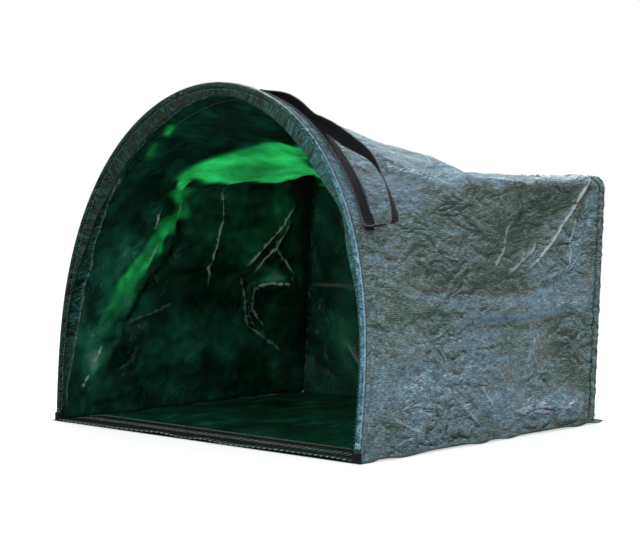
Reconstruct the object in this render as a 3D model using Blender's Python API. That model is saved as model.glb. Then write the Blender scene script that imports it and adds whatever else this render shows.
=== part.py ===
"""A pop up leaf bag, lying on its base with its arched mouth towards -Y.

A springy rod in a sewn sleeve holds the mouth open. One sheet of tarpaulin runs from the floor up one side,
over the roof and down the other, from the arch of the mouth to the square back. Two webbing handles are sewn
behind the sleeve. The origin is the middle of the base's underside, +Z is up, and all sizes are in metres.
"""

import math

import bmesh
import bpy
import numpy as np
from mathutils import Matrix, Vector

# Whole bag
HOOP_SPAN = 0.698
HOOP_RISE = 0.567
HOOP_LEAN = math.radians(4.6)
BASE_DEPTH = 0.640
BACK_WIDTH = 0.690
BACK_HEIGHT = 0.424
BACK_LEAN = math.radians(3.8)
BACK_SETBACK = 0.022
BACK_CORNER_RADIUS = 0.020

# Sheets, seams and the gap that touching pieces keep
CLOTH = 0.0015
GAP = 0.0003
SEWN_GAP = 0.0006
WELD = 0.00001
SEAM_ALLOWANCE = 0.009
BASE_CORNER_RADIUS = 0.008
ROOF_SAG = 0.016
WALL_DRAW = 0.010
BINDING_WIDTH = 0.012
BINDING_THICKNESS = 0.001
FOLD_FADE = 0.040
DENT_HEIGHT = 0.003
DENT_LENGTH = 0.250

# Hoop rod, its end caps and the pockets that hold them
ROD_RADIUS = 0.003
CAP_RADIUS = 0.005
CAP_LENGTH = 0.014
POCKET_PLAY = 0.0008
POCKET_WALL = 0.0015
POCKET_HEIGHT = 0.013
HOOP_INSET = 0.0055

# Sleeve round the rod, with the hem that hangs inward from it
SLEEVE_CLOTH = 0.0015
HEM_THICKNESS = 0.0016
HEM_SHOULDER = 0.026
HEM_CROWN = 0.012
HEM_FOOT = 0.002
HEM_LEAN = math.radians(12.0)

# Scraping lip across the floor of the mouth
LIP_DEPTH = 0.075
LIP_THICKNESS = 0.002

# Webbing handles: distances run along the hoop from its crown
WEBBING_WIDTH = 0.025
WEBBING_THICKNESS = 0.0015
HANDLE_START = 0.080
HANDLE_END = 0.412
HANDLE_SETBACK = 0.017
HANDLE_STANDOFF = 0.054
HANDLE_TWIST = math.radians(24.0)
LEFT_HANDLE_FALL = math.radians(55.0)
RIGHT_HANDLE_FALL = 0.0

# Counts of facets
HOOP_STEPS = 56
ROD_SIDES = 8
CAP_SIDES = 16
SLEEVE_ARC_SIDES = 10
WALL_STEPS = 12
CORNER_STEPS = 4
ROOF_STEPS = 22
FOLD_STEPS = 15
STRIP_STEPS = 20
LOOP_STEPS = 44
POCKET_ARC_STEPS = 8
CURVE_SAMPLES = 400
CHAIN_SAMPLES = 40

# Power of the height that the rod's bend follows: 1 if held at its feet alone, less where cloth draws it in
BEND_SHARE = 0.76

# Hem depth along half the hoop, from a foot at 0 to the crown at 1
HEM_START_SHARE = 0.12
HEM_PEAK_SHARE = 0.66

# Path of a handle loop: share of the sewn length from its upper end, share of the stand-off
LOOP_PATH_SHARES = (
    (0.00, 0.00),
    (0.07, 0.00),
    (0.16, 0.04),
    (0.28, 0.18),
    (0.42, 0.46),
    (0.57, 0.74),
    (0.72, 0.94),
    (0.86, 1.00),
    (0.97, 0.99),
    (1.01, 0.93),
    (1.01, 0.80),
    (1.00, 0.45),
    (0.99, 0.12),
    (0.97, 0.02),
    (0.92, 0.00),
)

# Main folds of the walls and the roof: height, half width and places (share round the sheet, share of its
# depth). Below zero they go into the bag.
FOLDS = (
    # Right wall: ridge from the rear top corner, the hollow before it, the ridge along the roof's edge
    (0.010, 0.024, ((0.715, 0.980), (0.750, 0.871), (0.792, 0.755), (0.823, 0.652))),
    (-0.015, 0.034, ((0.732, 0.880), (0.752, 0.765), (0.776, 0.650))),
    (0.011, 0.022, ((0.715, 0.980), (0.716, 0.800), (0.722, 0.700), (0.707, 0.489))),
    # Right wall: the long level fold half way up, a short one below it, the rear corner and the foot
    (0.011, 0.022, ((0.860, 0.350), (0.862, 0.600), (0.862, 0.750), (0.850, 0.930))),
    (-0.005, 0.022, ((0.894, 0.350), (0.886, 0.500), (0.885, 0.750), (0.874, 0.930))),
    (-0.003, 0.022, ((0.924, 0.130), (0.922, 0.300), (0.924, 0.640))),
    (-0.004, 0.024, ((0.890, 0.920), (0.922, 0.819))),
    (0.008, 0.020, ((0.966, 0.520), (0.972, 0.700), (0.976, 0.930))),
    # Roof
    (0.007, 0.024, ((0.670, 0.220), (0.696, 0.308), (0.722, 0.390))),
    (0.008, 0.030, ((0.603, 0.560), (0.667, 0.477), (0.711, 0.465))),
    (-0.008, 0.032, ((0.580, 0.840), (0.630, 0.700), (0.660, 0.600))),
    (0.008, 0.032, ((0.300, 0.930), (0.330, 0.760), (0.390, 0.600))),
    (-0.006, 0.030, ((0.440, 0.200), (0.455, 0.480), (0.480, 0.760))),
    # Left wall: the step that runs down from the roof, the creases by the rear corner, a level fold
    (0.010, 0.028, ((0.296, 0.370), (0.209, 0.400), (0.170, 0.350), (0.105, 0.240))),
    (-0.010, 0.024, ((0.245, 0.890), (0.205, 0.768), (0.176, 0.692))),
    (-0.008, 0.024, ((0.144, 0.730), (0.150, 0.813), (0.141, 0.920))),
    (0.007, 0.024, ((0.120, 0.420), (0.118, 0.560), (0.100, 0.720))),
)

BASE_TOP = CLOTH
PIVOT_HEIGHT = BASE_TOP + GAP + CAP_RADIUS
HOOP_Y = -BASE_DEPTH / 2 + HOOP_INSET
SLEEVE_BORE = ROD_RADIUS + GAP
SLEEVE_RADIUS = SLEEVE_BORE + SLEEVE_CLOTH
WRAP_START = SLEEVE_RADIUS + GAP
HEM_LEVEL = BASE_TOP + GAP + CLOTH / 2
BACK_Y = BASE_DEPTH / 2 - BACK_SETBACK
FRONT_HALF_WIDTH = HOOP_SPAN / 2 + SLEEVE_RADIUS


def clear_scene():
    for thing in list(bpy.data.objects):
        bpy.data.objects.remove(thing, do_unlink=True)


def make_material(name, colour, roughness, metallic=0.0):
    material = bpy.data.materials.new(name)
    material.use_nodes = True
    shader = material.node_tree.nodes["Principled BSDF"]
    shader.inputs["Base Color"].default_value = (*colour, 1.0)
    shader.inputs["Roughness"].default_value = roughness
    shader.inputs["Metallic"].default_value = metallic
    return material


def add_object(name, mesh, material):
    """Links a finished mesh as one object, shaded smooth except at its sharp edges."""
    thing = bpy.data.objects.new(name, mesh)
    bpy.context.scene.collection.objects.link(thing)
    mesh.materials.append(material)
    mesh.shade_smooth()
    mesh.set_sharp_from_angle(angle=math.radians(40.0))
    return thing


def mesh_from(bm, name):
    bmesh.ops.recalc_face_normals(bm, faces=bm.faces)
    mesh = bpy.data.meshes.new(name)
    bm.to_mesh(mesh)
    bm.free()
    return mesh


def add_sheet(name, rows, thickness, material):
    """A sheet through a grid of points, thickened to both sides of it."""
    bm = bmesh.new()
    grid = [[bm.verts.new(point) for point in row] for row in rows]
    for row, following in zip(grid, grid[1:]):
        for i in range(len(row) - 1):
            bm.faces.new((row[i], row[i + 1], following[i + 1], following[i]))
    sheet = add_object(name, mesh_from(bm, name), material)
    solidify = sheet.modifiers.new("Thickness", "SOLIDIFY")
    solidify.thickness = thickness
    solidify.offset = 0.0
    solidify.use_even_offset = True
    return sheet


def add_plate(name, outline, bottom, thickness, material):
    """A flat plate from an outline of (x, y) points."""
    bm = bmesh.new()
    face = bm.faces.new([bm.verts.new((x, y, bottom)) for x, y in outline])
    raised = bmesh.ops.extrude_face_region(bm, geom=[face])
    top = [item for item in raised["geom"] if isinstance(item, bmesh.types.BMVert)]
    bmesh.ops.translate(bm, verts=top, vec=(0.0, 0.0, thickness))
    return add_object(name, mesh_from(bm, name), material)


def add_swept(name, loops, material):
    """A solid through closed loops of points, with flat ends."""
    bm = bmesh.new()
    rings = [[bm.verts.new(point) for point in loop] for loop in loops]
    for ring, following in zip(rings, rings[1:]):
        for i in range(len(ring)):
            j = (i + 1) % len(ring)
            bm.faces.new((ring[i], ring[j], following[j], following[i]))
    bm.faces.new(rings[0])
    bm.faces.new(rings[-1])
    return add_object(name, mesh_from(bm, name), material)


def add_pipe(name, outer_loops, inner_loops, material):
    """A pipe between matching outer and inner loops, open at both ends."""
    bm = bmesh.new()
    outer = [[bm.verts.new(point) for point in loop] for loop in outer_loops]
    inner = [[bm.verts.new(point) for point in loop] for loop in inner_loops]
    for skin in (outer, inner):
        for ring, following in zip(skin, skin[1:]):
            for i in range(len(ring)):
                j = (i + 1) % len(ring)
                bm.faces.new((ring[i], ring[j], following[j], following[i]))
    for end in (0, -1):
        for i in range(len(outer[end])):
            j = (i + 1) % len(outer[end])
            bm.faces.new((outer[end][i], outer[end][j], inner[end][j], inner[end][i]))
    return add_object(name, mesh_from(bm, name), material)


def add_pivot(name, place):
    """An empty on a joint's axis, for the pieces that turn about it."""
    pivot = bpy.data.objects.new(name, None)
    pivot.location = place
    bpy.context.scene.collection.objects.link(pivot)
    bpy.context.view_layer.update()
    return pivot


def carry(pivot, pieces):
    for piece in pieces:
        piece.parent = pivot
        piece.matrix_parent_inverse = pivot.matrix_world.inverted()


def bent_half(stiffness):
    """Half of a bent rod of rise 1, from its crown to its feet, as rows of x, height, turn and length."""
    step = 1.0 / CURVE_SAMPLES
    x, height, turn, length = 0.0, 1.0, 0.0, 0.0
    rows = [(x, height, turn, length)]
    while height > 0.0:
        bend = stiffness * height**BEND_SHARE * step
        x += math.cos(turn + bend / 2) * step
        height -= math.sin(turn + bend / 2) * step
        turn += bend
        length += step
        rows.append((x, height, turn, length))
    rows = np.array(rows)
    rows[-1] = rows[-2] + (rows[-1] - rows[-2]) * rows[-2, 1] / (rows[-2, 1] - rows[-1, 1])
    return rows


def bent_rod():
    """Rows of x, rise, turn and length of the hoop's centre line, from its crown to its right foot."""
    wanted = HOOP_SPAN / 2 / HOOP_RISE
    low, high = 1.0, 3.0
    while high - low > 1.0e-9:
        middle = (low + high) / 2
        if bent_half(middle)[-1][0] > wanted:
            low = middle
        else:
            high = middle
    rows = bent_half(high)
    rows[:, (0, 1, 3)] *= HOOP_RISE
    return rows


HOOP = bent_rod()
HALF_LENGTH = HOOP[-1, 3]


def hoop_at(distance):
    """(x, rise, turn) of the hoop's centre line at a distance from the crown, negative to the left."""
    side = math.copysign(1.0, distance)
    x, rise, turn = (np.interp(abs(distance), HOOP[:, 3], HOOP[:, i]) for i in (0, 1, 2))
    return side * x, rise, side * turn


def hoop_stations(reach):
    """Distances along the hoop out to a reach on both sides, shared by the rod and the sleeve on it."""
    whole = [HALF_LENGTH * (2 * i / HOOP_STEPS - 1) for i in range(HOOP_STEPS + 1)]
    return [-reach, *(distance for distance in whole if abs(distance) < reach - GAP), reach]


def hoop_point(x, rise, back=0.0):
    """World point of the hoop's leaning plane, with back measured square to it."""
    y = HOOP_Y + rise * math.sin(HOOP_LEAN) + back * math.cos(HOOP_LEAN)
    return Vector((x, y, PIVOT_HEIGHT + rise * math.cos(HOOP_LEAN) - back * math.sin(HOOP_LEAN)))


def back_point(x, height, behind=0.0):
    """World point of the leaning back, with behind measured square to it."""
    y = BACK_Y + height * math.tan(BACK_LEAN) + behind / math.cos(BACK_LEAN)
    return Vector((x, y, height))


def along(points, share):
    """Point at a share of the length of a chain of points."""
    steps = np.linalg.norm(np.diff(points, axis=0), axis=1)
    reach = np.concatenate([[0.0], np.cumsum(steps)])
    place = share * reach[-1]
    return np.array([np.interp(place, reach, points[:, i]) for i in range(points.shape[1])])


def front_outline():
    """Outline (x, rise) of the sheet at the mouth, from the left hem over the crown to the right one."""
    offset = SLEEVE_RADIUS - CLOTH / 2
    foot_rise = (HEM_LEVEL - PIVOT_HEIGHT) / math.cos(HOOP_LEAN) + WRAP_START * math.tan(HOOP_LEAN)
    right = [(x + offset * math.sin(turn), rise + offset * math.cos(turn)) for x, rise, turn, _ in HOOP]
    right.append((right[-1][0], foot_rise))
    left = [(-x, rise) for x, rise in reversed(right[1:])]
    return np.array(left + right)


def back_outline():
    """Outline (x, height) of the sheet at the back: two walls and the top, with rounded corners."""
    half = BACK_WIDTH / 2 - CLOTH / 2
    top = BACK_HEIGHT - CLOTH / 2
    radius = BACK_CORNER_RADIUS
    right = []
    for i in range(CURVE_SAMPLES + 1):
        angle = math.pi / 2 * (1 - i / CURVE_SAMPLES)
        right.append((half - radius + radius * math.cos(angle), top - radius + radius * math.sin(angle)))
    right.append((half, HEM_LEVEL))
    left = [(-x, height) for x, height in reversed(right)]
    return np.array(left + right)


FRONT_OUTLINE = front_outline()
BACK_OUTLINE = back_outline()
ROUND_LENGTH = float(np.linalg.norm(np.diff(FRONT_OUTLINE, axis=0), axis=1).sum())
WALL_LENGTH = BACK_HEIGHT - HEM_LEVEL - BACK_CORNER_RADIUS
BACK_LENGTH = 2 * WALL_LENGTH + BACK_WIDTH - 2 * BACK_CORNER_RADIUS + math.pi * BACK_CORNER_RADIUS
RIDGE_START = WALL_LENGTH / BACK_LENGTH
RIDGE_END = (WALL_LENGTH + math.pi / 2 * BACK_CORNER_RADIUS) / BACK_LENGTH


def around_shares():
    """Stations round the sheet, close together where the walls turn into the roof."""
    wall = np.linspace(0.0, RIDGE_START, WALL_STEPS, endpoint=False)
    ridge = np.linspace(RIDGE_START, RIDGE_END, CORNER_STEPS, endpoint=False)
    roof = np.linspace(RIDGE_END, 1.0 - RIDGE_END, ROOF_STEPS)
    return np.concatenate([wall, ridge, roof, 1.0 - ridge[::-1], 1.0 - wall[::-1]])


def wrap_point(around, deep):
    """Middle of the sheet: around runs from left hem to right hem, deep from the mouth to the back."""
    x, rise = along(FRONT_OUTLINE, around)
    front = hoop_point(x, rise, WRAP_START)
    back = back_point(*along(BACK_OUTLINE, around))
    point = front.lerp(back, deep)
    slack = 4 * deep * (1 - deep)
    up_wall = min(1.0, min(around, 1.0 - around) / RIDGE_END)
    side = math.copysign(1.0, around - 0.5)
    point.z -= ROOF_SAG * slack * up_wall * up_wall
    if up_wall < 1.0:
        point.x -= side * WALL_DRAW * slack * math.sin(math.pi * up_wall)
    return point


def wrap_normal(around, deep):
    """Outward direction of the sheet, from its slopes round it and into it."""
    step = 1.0 / CURVE_SAMPLES
    across = wrap_point(min(around + step, 1.0), deep) - wrap_point(max(around - step, 0.0), deep)
    inward = wrap_point(around, min(deep + step, 1.0)) - wrap_point(around, max(deep - step, 0.0))
    return inward.cross(across).normalized() * -1.0


def around_at(distance):
    """Share round the sheet that lies over a distance along the hoop from its crown."""
    x, rise, turn = hoop_at(distance)
    offset = SLEEVE_RADIUS - CLOTH / 2
    here = np.array([x + offset * math.sin(turn), rise + offset * math.cos(turn)])
    steps = np.linalg.norm(np.diff(FRONT_OUTLINE, axis=0), axis=1)
    nearest = int(np.argmin(np.linalg.norm(FRONT_OUTLINE - here, axis=1)))
    return float(np.sum(steps[:nearest]) / np.sum(steps))


def wrap_depth():
    """Distance from the front edge of the sheet to its back edge along the base."""
    return BACK_Y - HOOP_Y - WRAP_START


def path_distance(place, path):
    """Distance from a place to a chain of points."""
    nearest = math.inf
    for start, end in zip(path, path[1:]):
        run = end - start
        down = min(max(np.dot(place - start, run) / np.dot(run, run), 0.0), 1.0)
        nearest = min(nearest, float(np.linalg.norm(place - start - run * down)))
    return nearest


def ease(distance):
    """Share of a fold's height at a distance from where the sheet is sewn down."""
    share = min(max(distance / FOLD_FADE, 0.0), 1.0)
    return share * share * (3 - 2 * share)


def fold_height(around, deep):
    """How far folds and soft dents lift the sheet: nothing at its seams and under the handles."""
    sheet = np.array([ROUND_LENGTH, wrap_depth()])
    place = sheet * (around, deep)
    waves = 2 * math.pi * place / DENT_LENGTH
    height = DENT_HEIGHT * math.sin(waves[0] + math.sin(waves[1])) * math.cos(waves[1] - waves[0] / 2)
    for crest, half_width, path in FOLDS:
        distance = path_distance(place, [sheet * point for point in path])
        height += crest * math.exp(-((distance / half_width) ** 2))
    height *= ease(place[1] - HANDLE_SETBACK - WEBBING_WIDTH) * ease(wrap_depth() - BINDING_WIDTH - place[1])
    return height * ease(min(place[0], ROUND_LENGTH - place[0]))


def add_base(material):
    """Floor sheet with its seam allowance, a little narrower at the back."""
    front = FRONT_HALF_WIDTH + SEAM_ALLOWANCE
    back = BACK_WIDTH / 2 + SEAM_ALLOWANCE
    half_depth = BASE_DEPTH / 2
    cut = BASE_CORNER_RADIUS
    front_corner = [(front - cut, -half_depth), (front, cut - half_depth)]
    back_corner = [(back, half_depth - cut), (back - cut, half_depth)]
    right = front_corner + back_corner
    outline = right + [(-x, y) for x, y in reversed(right)]
    return add_plate("base_panel", outline, 0.0, CLOTH, material)


def add_lip(material):
    """Coarse black strip on the front edge of the base, between the two pockets."""
    half = HOOP_SPAN / 2 - CAP_RADIUS - POCKET_PLAY - POCKET_WALL - GAP
    front = -BASE_DEPTH / 2
    outline = [(-half, front), (half, front), (half, front + LIP_DEPTH), (-half, front + LIP_DEPTH)]
    return add_plate("lip_strip", outline, BASE_TOP + GAP, LIP_THICKNESS, material)


def add_pocket(name, x, material):
    """A webbing pocket on the base, round a rod end and open to the back, where the hoop folds."""
    inner = CAP_RADIUS + POCKET_PLAY
    outer = inner + POCKET_WALL
    bend = [math.pi + math.pi * i / POCKET_ARC_STEPS for i in range(POCKET_ARC_STEPS + 1)]
    outside = [(x - outer, HOOP_Y + ROD_RADIUS)]
    outside += [(x + outer * math.cos(a), HOOP_Y + outer * math.sin(a)) for a in bend]
    outside.append((x + outer, HOOP_Y + ROD_RADIUS))
    inside = [(x + inner, HOOP_Y + ROD_RADIUS)]
    inside += [(x + inner * math.cos(a), HOOP_Y + inner * math.sin(a)) for a in reversed(bend)]
    inside.append((x - inner, HOOP_Y + ROD_RADIUS))
    return add_plate(name, outside + inside, BASE_TOP + GAP, POCKET_HEIGHT, material)


def add_wrap(material):
    """Left wall, roof and right wall in one folded sheet, with hems turned out on the base."""
    handle_rear = (HANDLE_SETBACK + WEBBING_WIDTH) / wrap_depth()
    binding_front = 1.0 - BINDING_WIDTH / wrap_depth()
    rows = []
    for deep in (0.0, *np.linspace(handle_rear, binding_front, FOLD_STEPS + 1), 1.0):
        row = []
        for around in around_shares():
            row.append(wrap_point(around, deep) + wrap_normal(around, deep) * fold_height(around, deep))
        hem = Vector((SEAM_ALLOWANCE, 0.0, 0.0))
        rows.append([row[0] - hem, *row, row[-1] + hem])
    return add_sheet("wrap_panel", rows, CLOTH, material)


def back_frames():
    """Stations round the back: point of the outline and its outward direction."""
    shares = around_shares()
    step = 1.0 / CURVE_SAMPLES
    frames = []
    for share in shares:
        ahead = along(BACK_OUTLINE, min(share + step, 1.0))
        behind = along(BACK_OUTLINE, max(share - step, 0.0))
        run = (ahead - behind) / np.linalg.norm(ahead - behind)
        frames.append((along(BACK_OUTLINE, share), np.array([-run[1], run[0]])))
    return frames


def add_back(material):
    """Back sheet, closing the rear end of the wrap."""
    bm = bmesh.new()
    outline = [point + out * (CLOTH / 2) for point, out in back_frames()]
    near = [bm.verts.new(back_point(x, height, GAP)) for x, height in outline]
    far = [bm.verts.new(back_point(x, height, GAP + CLOTH)) for x, height in outline]
    bm.faces.new(near)
    bm.faces.new(far)
    for i in range(len(near)):
        j = (i + 1) % len(near)
        bm.faces.new((near[i], near[j], far[j], far[i]))
    return add_object("back_panel", mesh_from(bm, "back_panel"), material)


def add_binding(material):
    """Tape folded over the seam between the wrap and the back, from just over one hem to the other."""
    skin = CLOTH / 2 + SEWN_GAP
    rear = GAP + CLOTH + GAP
    foot_share = 2 * CLOTH / BACK_LENGTH
    front_share = 1.0 - BINDING_WIDTH / wrap_depth()
    loops = []
    for share, (point, out) in zip(around_shares(), back_frames()):
        if share < foot_share or share > 1.0 - foot_share:
            share = min(max(share, foot_share), 1.0 - foot_share)
            point = along(BACK_OUTLINE, share)
        edge = wrap_point(share, front_share)
        off_sheet = wrap_normal(share, front_share)
        section = (
            (skin + BINDING_THICKNESS, rear + BINDING_THICKNESS),
            (skin - BINDING_WIDTH, rear + BINDING_THICKNESS),
            (skin - BINDING_WIDTH, rear),
            (skin, rear),
        )
        loop = [edge + off_sheet * skin, edge + off_sheet * (skin + BINDING_THICKNESS)]
        loop += [back_point(*(point + out * off), behind) for off, behind in section]
        loops.append(loop)
    return add_swept("back_binding", loops, material)


def add_rod(material):
    """Springy rod of the hoop, one curve from the bore of one cap to the other."""
    curve = bpy.data.curves.new("hoop_rod", "CURVE")
    curve.dimensions = "3D"
    curve.bevel_depth = ROD_RADIUS
    curve.bevel_resolution = ROD_SIDES // 4
    curve.use_fill_caps = True
    spline = curve.splines.new("POLY")
    stations = hoop_stations(HALF_LENGTH - GAP)
    spline.points.add(len(stations) - 1)
    for point, distance in zip(spline.points, stations):
        x, rise, _ = hoop_at(distance)
        point.co = (*hoop_point(x, rise), 1.0)
    rod = bpy.data.objects.new("hoop_rod", curve)
    bpy.context.scene.collection.objects.link(rod)
    curve.materials.append(material)
    return rod


def add_cap(name, side, material):
    """Round-nosed cap on a rod end, turned about the rod's own line."""
    x, _, turn = hoop_at(side * HALF_LENGTH)
    bore = ROD_RADIUS + GAP
    profile = [(0.0, -CAP_RADIUS)]
    nose_steps = CAP_SIDES // 4
    for i in range(1, nose_steps + 1):
        angle = math.pi / 2 * i / nose_steps
        profile.append((CAP_RADIUS * math.sin(angle), -CAP_RADIUS * math.cos(angle)))
    profile += [(CAP_RADIUS, CAP_LENGTH), (bore, CAP_LENGTH), (bore, 0.0), (0.0, 0.0)]
    bm = bmesh.new()
    chain = [bm.verts.new((radius, 0.0, height)) for radius, height in profile]
    edges = [bm.edges.new(pair) for pair in zip(chain, chain[1:])]
    turn_about = {"cent": (0.0, 0.0, 0.0), "axis": (0.0, 0.0, 1.0), "angle": 2 * math.pi}
    bmesh.ops.spin(bm, geom=chain + edges, steps=CAP_SIDES, **turn_about)
    bmesh.ops.remove_doubles(bm, verts=bm.verts, dist=WELD)
    upright = math.pi / 2 * side - turn
    place = Matrix.Translation(hoop_point(x, 0.0)) @ Matrix.Rotation(-HOOP_LEAN, 4, "X")
    bmesh.ops.transform(bm, verts=bm.verts, matrix=place @ Matrix.Rotation(-upright, 4, "Y"))
    return add_object(name, mesh_from(bm, name), material)


def hem_depth(distance):
    """How far the sleeve's hem hangs inward at a distance along the hoop from its crown."""
    share = 1.0 - abs(distance) / HALF_LENGTH
    if share < HEM_START_SHARE:
        return HEM_FOOT
    if share < HEM_PEAK_SHARE:
        climb = (share - HEM_START_SHARE) / (HEM_PEAK_SHARE - HEM_START_SHARE)
        return HEM_FOOT + (HEM_SHOULDER - HEM_FOOT) * (1 - math.cos(math.pi * climb)) / 2
    fall = (share - HEM_PEAK_SHARE) / (1.0 - HEM_PEAK_SHARE)
    return HEM_SHOULDER + (HEM_CROWN - HEM_SHOULDER) * (1 - math.cos(math.pi * fall)) / 2


def add_sleeve(material):
    """Sleeve round the rod between the caps. Its loose hem hangs inward, most at the shoulders."""
    root = math.asin(HEM_THICKNESS / 2 / SLEEVE_RADIUS)
    sweep = 2 * math.pi - 2 * root
    arc = [root + sweep * i / (SLEEVE_ARC_SIDES - 1) for i in range(SLEEVE_ARC_SIDES)]
    tip = (-root / 3, root / 3)
    outer_loops, inner_loops = [], []
    for distance in hoop_stations(HALF_LENGTH - CAP_LENGTH - GAP):
        x, rise, turn = hoop_at(distance)
        depth = SLEEVE_RADIUS + hem_depth(distance)
        outer = [(SLEEVE_RADIUS * math.cos(a), SLEEVE_RADIUS * math.sin(a)) for a in arc]
        outer += [(depth, -HEM_THICKNESS / 2), (depth, HEM_THICKNESS / 2)]
        inner = [(SLEEVE_BORE * math.cos(a), SLEEVE_BORE * math.sin(a)) for a in (*arc, *tip)]
        for section, loops in ((outer, outer_loops), (inner, inner_loops)):
            loop = []
            for down, aside in section:
                inward = down * math.cos(HEM_LEAN) - aside * math.sin(HEM_LEAN)
                back = down * math.sin(HEM_LEAN) + aside * math.cos(HEM_LEAN)
                loop.append(hoop_point(x - inward * math.sin(turn), rise - inward * math.cos(turn), back))
            loops.append(loop)
    return add_pipe("hoop_sleeve", outer_loops, inner_loops, material)


def strip_point(distance, setback, lift):
    """Point over the sheet: along the hoop, back from its front edge, and lifted off it."""
    around = around_at(distance)
    deep = setback / wrap_depth()
    return wrap_point(around, deep) + wrap_normal(around, deep) * lift


def add_handle_strip(name, side, material):
    """Webbing sewn flat on the sheet behind the sleeve, under a handle loop."""
    lift = CLOTH / 2 + SEWN_GAP + WEBBING_THICKNESS / 2
    rows = []
    for setback in (HANDLE_SETBACK, HANDLE_SETBACK + WEBBING_WIDTH):
        row = []
        for i in range(STRIP_STEPS + 1):
            distance = HANDLE_START + (HANDLE_END - HANDLE_START) * i / STRIP_STEPS
            row.append(strip_point(side * distance, setback, lift))
        rows.append(row)
    return add_sheet(name, rows, WEBBING_THICKNESS, material)


def smooth_chain(points, count):
    """Evenly spaced points on a smooth curve through the given ones."""
    dense = []
    padded = [points[0], *points, points[-1]]
    for a, b, c, d in zip(padded, padded[1:], padded[2:], padded[3:]):
        for t in np.linspace(0.0, 1.0, CHAIN_SAMPLES, endpoint=False):
            swing = (c - a) * t + (2 * a - 5 * b + 4 * c - d) * t**2 + (3 * b - a - 3 * c + d) * t**3
            dense.append(b + swing / 2)
    dense = np.array([*dense, points[-1]])
    return [along(dense, i / count) for i in range(count + 1)]


def loop_path():
    """Path of a handle loop from its upper to its lower sewn end: (distance from crown, stand-off)."""
    sewn = HANDLE_END - HANDLE_START
    places = [(HANDLE_START + sewn * run, HANDLE_STANDOFF * standoff) for run, standoff in LOOP_PATH_SHARES]
    return smooth_chain([np.array(place) for place in places], LOOP_STEPS)


def loop_point(side, fall, distance, standoff, aside=0.0):
    """Point of a handle loop that has fallen back by an angle, with aside measured along the sheet."""
    seat = CLOTH / 2 + SEWN_GAP + WEBBING_THICKNESS + GAP + WEBBING_THICKNESS / 2
    setback = HANDLE_SETBACK + WEBBING_WIDTH / 2 + aside + standoff * math.sin(fall)
    return strip_point(side * distance, setback, seat + standoff * math.cos(fall))


def loop_edges(side, fall):
    """Both edges of a handle loop: flat on its strip at the sewn ends, turned with its fall between them."""
    front, rear = [], []
    path = loop_path()
    for i, (distance, standoff) in enumerate(path):
        middle = loop_point(side, fall, distance, standoff)
        across = loop_point(side, fall, distance, standoff, WEBBING_WIDTH) - middle
        ahead = loop_point(side, fall, *path[min(i + 1, LOOP_STEPS)])
        run = ahead - loop_point(side, fall, *path[max(i - 1, 0)])
        freed = min(1.0, standoff / HANDLE_STANDOFF) if standoff > GAP else 0.0
        turn = side * (fall * freed - HANDLE_TWIST * math.sin(math.pi * i / LOOP_STEPS) ** 2)
        half_width = Matrix.Rotation(turn, 3, run.normalized()) @ across.normalized() * (WEBBING_WIDTH / 2)
        front.append(middle - half_width)
        rear.append(middle + half_width)
    return front, rear


def add_handle_loop(name, side, fall, material):
    """Free webbing of a handle, sewn down on its strip at both ends."""
    return add_sheet(name, loop_edges(side, fall), WEBBING_THICKNESS, material)


def swing_line(side):
    """The two sewn ends of a handle loop, which it swings about."""
    front, rear = loop_edges(side, 0.0)
    return (front[0] + rear[0]) / 2, (front[-1] + rear[-1]) / 2


def main():
    clear_scene()
    tarpaulin = make_material("woven_tarpaulin", (0.030, 0.080, 0.065), 0.32)
    webbing = make_material("black_webbing", (0.020, 0.018, 0.022), 0.75)
    coarse = make_material("coarse_strip", (0.018, 0.020, 0.022), 0.60)
    fibreglass = make_material("fibreglass_rod", (0.030, 0.030, 0.030), 0.35)
    plastic = make_material("black_plastic", (0.015, 0.015, 0.015), 0.45)

    add_base(tarpaulin)
    add_lip(coarse)
    add_wrap(tarpaulin)
    add_back(tarpaulin)
    add_binding(tarpaulin)

    hoop = [add_rod(fibreglass), add_sleeve(tarpaulin)]
    for word, side in (("left", -1.0), ("right", 1.0)):
        add_pocket(f"corner_pocket_{word}", side * HOOP_SPAN / 2, webbing)
        hoop.append(add_cap(f"rod_cap_{word}", side, plastic))
        hoop.append(add_handle_strip(f"handle_strip_{word}", side, webbing))
    hoop_pivot = add_pivot("mouth_fold_axis", hoop_point(0.0, 0.0))
    carry(hoop_pivot, hoop)

    for word, side, fall in (("left", -1.0, LEFT_HANDLE_FALL), ("right", 1.0, RIGHT_HANDLE_FALL)):
        loop = add_handle_loop(f"handle_loop_{word}", side, fall, webbing)
        ends = swing_line(side)
        swing = add_pivot(f"handle_{word}_swing_axis", (ends[0] + ends[1]) / 2)
        carry(swing, [loop])
        print(f"handle_{word}_swing runs from", *(tuple(round(v, 4) for v in end) for end in ends))
    print("mouth_fold pivot", tuple(round(v, 5) for v in hoop_pivot.location))
    print("hoop rod length", round(2 * HALF_LENGTH, 4))


main()
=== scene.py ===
"""Looks of a pop up leaf bag: creased woven tarpaulin, a sprung hoop in its sleeve, webbing handles and seams.

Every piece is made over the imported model, in its frame and in metres. The formulas of the hoop, of the two
outlines and of the sheet between them are the ones that the part's solids were made from.
"""

import math

import bpy
import numpy as np
from mathutils import Matrix, Vector


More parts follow.
